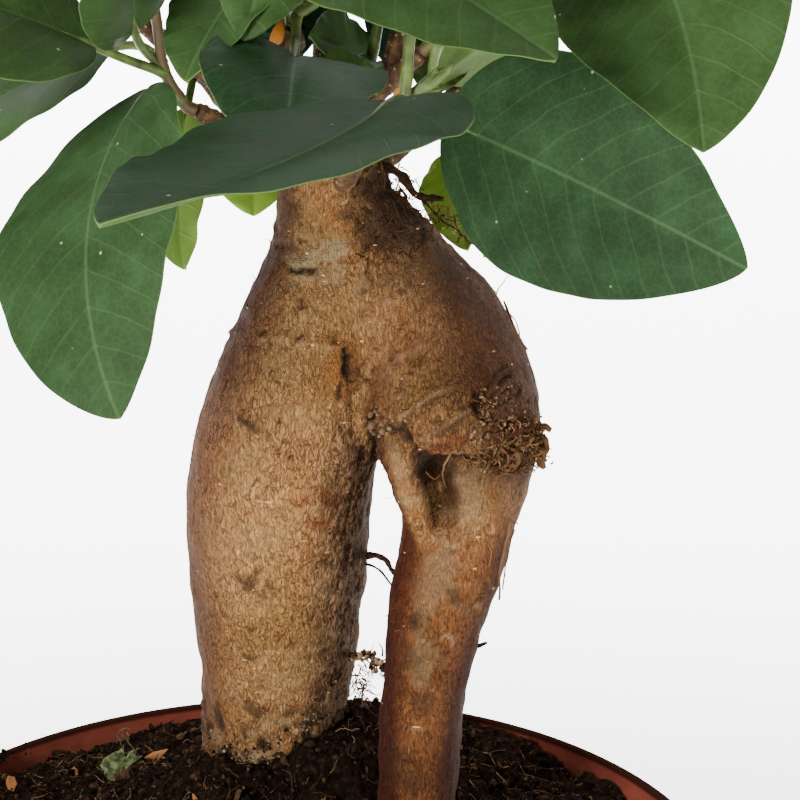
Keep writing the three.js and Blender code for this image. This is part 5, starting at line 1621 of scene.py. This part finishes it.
def make_granules(cork, grit):
    """Corky granules packed into the crotch, the clump and the hollow, and crumbs caught on two of the thin
    roots and on the foot."""
    rng = np.random.default_rng(9)
    large = np.array(GRANULES)
    clump = np.stack([rng.uniform(*CLUMP_COLUMNS, 560), rng.normal(0, 11, 560)], -1)
    clump[:, 1] += CLUMP_ROW - 0.12 * (clump[:, 0] - CLUMP_COLUMNS[0])
    hollow = rng.uniform(*HOLLOW, (130, 2))
    small = len(clump) + len(hollow)
    found, out = seen_at(np.vstack([large[:, :2], clump, hollow]))
    sizes = np.concatenate([large[:, 2], rng.uniform(0.12, 0.42, small)])
    points, faces = crumbs(found + 0.3 * sizes[:, None] * out, sizes, rng, 0.9)
    shade = np.concatenate([rng.uniform(0.25, 0.75, len(large)), rng.uniform(0, 1, small) ** 1.3])
    add_piece("granules", points, [faces], cork, "bark", smooth=False, shade=np.repeat(shade, 12))
    caught = smooth_curve(ROOTLETS[5][2:], rng.uniform(0.1, 0.9, 70))
    caught = caught + 0.5 * rng.normal(size=(70, 3))
    hung = smooth_curve(ROOTLETS[8][2:], rng.uniform(0, 1, 60))
    hung = hung + rng.normal(size=(60, 3)) * [0.6, 0.4, 0.5]
    column = rng.uniform(FOOT_COLUMNS[0], FOOT_COLUMNS[-1], 320)
    row = np.interp(column, FOOT_COLUMNS, FOOT_ROWS) - 30 * rng.uniform(0, 1, 320) ** 1.5
    foot, foot_out = seen_at(np.stack([column, row], -1))
    places = np.vstack([caught, hung, foot + 0.1 * foot_out])
    sizes = [rng.uniform(0.25, 0.65, 70), rng.uniform(0.1, 0.3, 60), rng.uniform(0.12, 0.4, 320)]
    sizes = np.concatenate(sizes)
    points, faces = crumbs(places, sizes, rng)
    shade = np.repeat(rng.uniform(0, 1, len(places)) ** 2, 12)
    add_piece("caught_crumbs", points, [faces], grit, "bark", smooth=False, shade=shade)


def make_lenticels(points, normals, finish):
    """Breathing pores: small corky beads, longer across the trunk than up it, each half sunk in the bark. The
    large ones are placed as seen, and small ones are scattered over the rest."""
    rng = np.random.default_rng(13)
    pixels = [spot[:2] for spot in LENTICELS]
    sizes = [spot[2:] for spot in LENTICELS]
    for first, last, count in LENTICEL_ROWS:
        shares = np.linspace(0, 1, count) + rng.uniform(-0.012, 0.012, count)
        way = np.subtract(last, first)
        pixels += [tuple(np.add(first, share * way) + rng.normal(size=2)) for share in shares]
        sizes += [(rng.uniform(0.25, 0.5), rng.uniform(0.18, 0.3)) for _ in shares]
    found, out = seen_at(pixels)
    scattered = rng.choice(np.flatnonzero(points[:, 2] > 26), 170, replace=False)
    places = np.vstack([found, points[scattered]])
    out = np.vstack([out, normals[scattered]])
    small = np.stack([rng.uniform(0.2, 0.5, 170), rng.uniform(0.12, 0.18, 170)], -1)
    long, tall = np.vstack([sizes, small]).T
    count = len(places)
    level = unit(np.cross(out, [0, 0, 1.0]) + 0.1 * rng.normal(size=(count, 3)))
    up = np.cross(out, level)
    turn = 2 * np.pi * np.arange(9) / 9
    rings = []
    for spread, lift in ((1.0, -0.25), (0.85, 0.45), (0.45, 0.9)):
        wide = (spread * long)[:, None, None] * np.cos(turn)[:, None] * level[:, None]
        high = (spread * tall)[:, None, None] * np.sin(turn)[:, None] * up[:, None]
        rings.append(places[:, None] + wide + high + (lift * 0.5 * tall)[:, None, None] * out[:, None])
    beads = np.stack(rings, 1).reshape(-1, 3)
    first = 27 * np.arange(count)[:, None, None]
    sides = (first + grid_faces(3, 9, closed=True)).reshape(-1, 4)
    ends = first + np.stack([np.arange(9)[::-1], 18 + np.arange(9)])
    shade = np.repeat(rng.uniform(0.2, 0.8, count), 27)
    add_piece("lenticels", beads, [sides, ends.reshape(-1, 9)], finish, "bark", shade=shade)


# Litter: the outline of each bit in pixels of the photograph
SCRAP = [
    (124, 743), (118, 752), (104, 759), (100, 766), (107, 778), (108, 787), (112, 785), (118, 780),
    (122, 774), (131, 765), (143, 756), (136, 756), (135, 750), (129, 752), (126, 757), (124, 752),
]
CHIP = [(135, 765), (140, 760), (154, 752), (170, 749), (172, 756), (158, 762), (140, 767)]
HUSK = [(6, 780), (8, 776), (15, 777), (17, 784), (14, 791), (11, 795), (10, 799), (8, 793), (6, 788)]
FLAKE = [(70, 770), (74, 767), (78, 770), (78, 775), (73, 775)]
SHRED = [(192, 793), (195, 795), (198, 799), (193, 800)]
SCRAP_STALK = [(125, 756), (120, 741), (117, 736), (120, 731), (127, 728), (131, 731)]
SCRAP_THREAD = [(122, 735), (128, 742), (133, 748), (137, 754)]
# Each bit: name, outline, pixel of its middle and how high that is over the peat, the way that its face
# leans, half its thickness, its curl, its shade, its slot and the node that it stands for
LITTER = [
    ("scrap_blade", SCRAP, (121, 770), 1.2, (0.1, -0.6, 0.8), 0.13, 0.7, 0.5, "dry_leaf", ["leaf_scrap"]),
    ("chip", CHIP, (154, 760), 0.8, (0, -0.7, 0.7), 0.35, 0.25, 0.8, "bark_chip", ["bark_chip"]),
    ("husk", HUSK, (12, 786), 0.8, (0.2, -0.8, 0.6), 0.3, 0.3, 0.8, "dry_leaf", []),
    ("flake", FLAKE, (74, 771), 0.6, (0, -0.8, 0.6), 0.25, 0.2, 0.7, "dry_leaf", []),
    ("shred", SHRED, (195, 797), 0.6, (0, -0.8, 0.6), 0.2, 0.2, 1.0, "dry_leaf", []),
]


def on_plane(pixels, centre, normal):
    """The places on a plane that are seen at pixels."""
    lines = sight_lines(pixels)
    share = (np.subtract(centre, CAMERA_PLACE) @ normal) / (lines @ normal)
    return CAMERA_PLACE + lines * share[:, None]


def on_peat(pixel):
    """The place on the peat that is seen at a pixel."""
    reach = np.linspace(300, 420, 1200)
    places = CAMERA_PLACE + sight_lines(pixel) * reach[:, None]
    return places[np.argmax(places[:, 2] < peat_height(places[:, 0], places[:, 1]))]


def make_bit(name, outline, centre, lean, thick, curl, shade, finish, slot, stands_for):
    """A thin crisp bit: its outline, carried to the plane through the centre, filled with rings that shrink
    to the middle, curled by noise, with a back face behind the front one."""
    normal = unit(np.array(lean, float))
    corners = on_plane(outline, centre, normal)
    loop = np.vstack([corners, corners[:1]])
    steps = np.arange(0, len(corners), 0.125)
    edge = np.stack([np.interp(steps, np.arange(len(loop)), loop[:, k]) for k in range(3)], -1)
    middle = edge.mean(0)
    shares = np.linspace(0.06, 1, 9)[:, None, None]
    front = middle + shares * (edge - middle)
    front = front + normal * (curl * noise(front, 1.6, 41) + 0.3 * curl * noise(front, 0.6, 42))[..., None]
    swell = thick * np.sqrt(1 - 0.85 * shares**2)
    rings = np.concatenate([front + swell * normal, (front - swell * normal)[::-1]])
    count = len(edge)
    quads = grid_faces(len(rings), count, closed=True)
    ends = np.stack([np.arange(count)[::-1], (len(rings) - 1) * count + np.arange(count)])
    turns_left = np.cross(edge[0] - middle, edge[count // 4] - middle) @ normal
    if turns_left >= 0:
        quads, ends = quads[:, ::-1], ends[:, ::-1]
    add_piece(name, rings.reshape(-1, 3), [quads, ends], finish, slot, stands_for, shade=shade)


def make_litter(withered, dry):
    """The withered leaf scrap with its curled stalk and thread, the chip, a husk, a flake and a shred."""
    centres = {}
    for name, outline, pixel, rise, lean, thick, curl, shade, slot, stands_for in LITTER:
        centres[name] = on_peat(pixel) + [0, 0, rise]
        finish = withered if outline is SCRAP else dry
        make_bit(name, outline, centres[name], lean, thick, curl, shade, finish, slot, stands_for)
    shares = np.linspace(0, 1, 20)
    facing = np.array([0, -1.0, 0.1])
    knots = [on_plane(line, centres["scrap_blade"], facing) for line in (SCRAP_STALK, SCRAP_THREAD)]
    paths = [smooth_curve(line, shares) for line in knots]
    points, *faces = tubes(paths, 0.13 * np.linspace(1, 0.6, 20), 6)
    add_piece("scrap_stalk", points, faces, withered, "dry_leaf")


def add_light(name, place, target, size, power):
    """A square soft box that faces its target."""
    light = bpy.data.objects.new(name, bpy.data.lights.new(name, "AREA"))
    light.data.size = size
    light.data.energy = power
    light.location = place
    aim = Vector(target) - Vector(place)
    light.rotation_euler = aim.to_track_quat("-Z", "Y").to_euler()
    bpy.context.scene.collection.objects.link(light)


def add_stage():
    """A pale floor that fills the view and glows more away from the pot, a world that is greyer above and
    behind, a soft box at the upper left and a floor wash behind the pot."""
    white = "#fbfbfa"
    finish, add = new_finish("pale_floor")
    away = add("VectorMath", [add("TexCoord", output="Object")], operation="LENGTH")
    glow = add("MapRange", [away, 0.16, 0.55, 1.0, 5.0], **EASED)
    surface = {"Base Color": white, "Roughness": 0.95, "Emission Color": white, "Emission Strength": glow}
    add("OutputMaterial", [add("BsdfPrincipled", surface)])
    mesh = bpy.data.meshes.new("floor")
    reach = 9
    corners = [(-reach, -reach, 0), (reach, -reach, 0), (reach, reach, 0), (-reach, reach, 0)]
    mesh.from_pydata(corners, [], [(0, 1, 2, 3)])
    mesh.materials.append(finish)
    piece = bpy.data.objects.new("floor", mesh)
    bpy.context.scene.collection.objects.link(piece)
    world = bpy.data.worlds.new("studio")
    world.use_nodes = True
    world.node_tree.nodes.clear()
    add_sky = partial(add_node, world.node_tree)
    sky = add_sky("TexCoord", output="Generated")
    up_and_back = add_sky("VectorMath", [sky, [0, 0.5, 0.8]], operation="DOT_PRODUCT")
    shade = add_sky("ValToRGB", [up_and_back], stops={0.0: "#ffffff", 0.7: "#7c7c7c"})
    add_sky("OutputWorld", [add_sky("Background", [shade, 0.31])])
    bpy.context.scene.world = world
    add_light("key", (-0.8, -1.2, 0.85), (0, 0, 0.2), 0.5, 39)
    add_light("floor_wash", (0, 2.6, 2.0), (0, 3.0, 0), 3.4, 420)


# Assembly

add_camera()
add_stage()
bark_points, bark_normals = make_rootstock(bark_finish())
cork = litter_finish("pale_cork", "#6b4728", "#d2a26e")
make_lenticels(bark_points, bark_normals, cork)
granules = litter_finish("corky_granules", "#2c1e14", "#806449")
make_granules(granules, litter_finish("grit", "#120b07", "#94795a"))
root_skin = litter_finish("thin_root_skin", "#1a110b", "#87603f")
make_roots(root_skin)
make_bark_fibres(bark_points, bark_normals, root_skin)
crown = grow_crown()
make_branches(crown, branch_finish())
add_inner_leaves(crown)
waxy, stems = leaf_finish(), stem_finish()
for shoot in crown:
    make_shoot(shoot, waxy, stems)
make_buds(stems, litter_finish("bud_scale", "#7a4416", "#b87a34"))
make_pot(pot_finish())
make_peat(peat_finish())
make_crumbs(litter_finish("peat_crumb", "#0f0a07", "#6a4f39"))
make_fibres(litter_finish("peat_fibre", "#120a06", "#9c7c58"))
make_litter(scrap_finish(), litter_finish("dry_bark", "#2e1a10", "#96663f"))
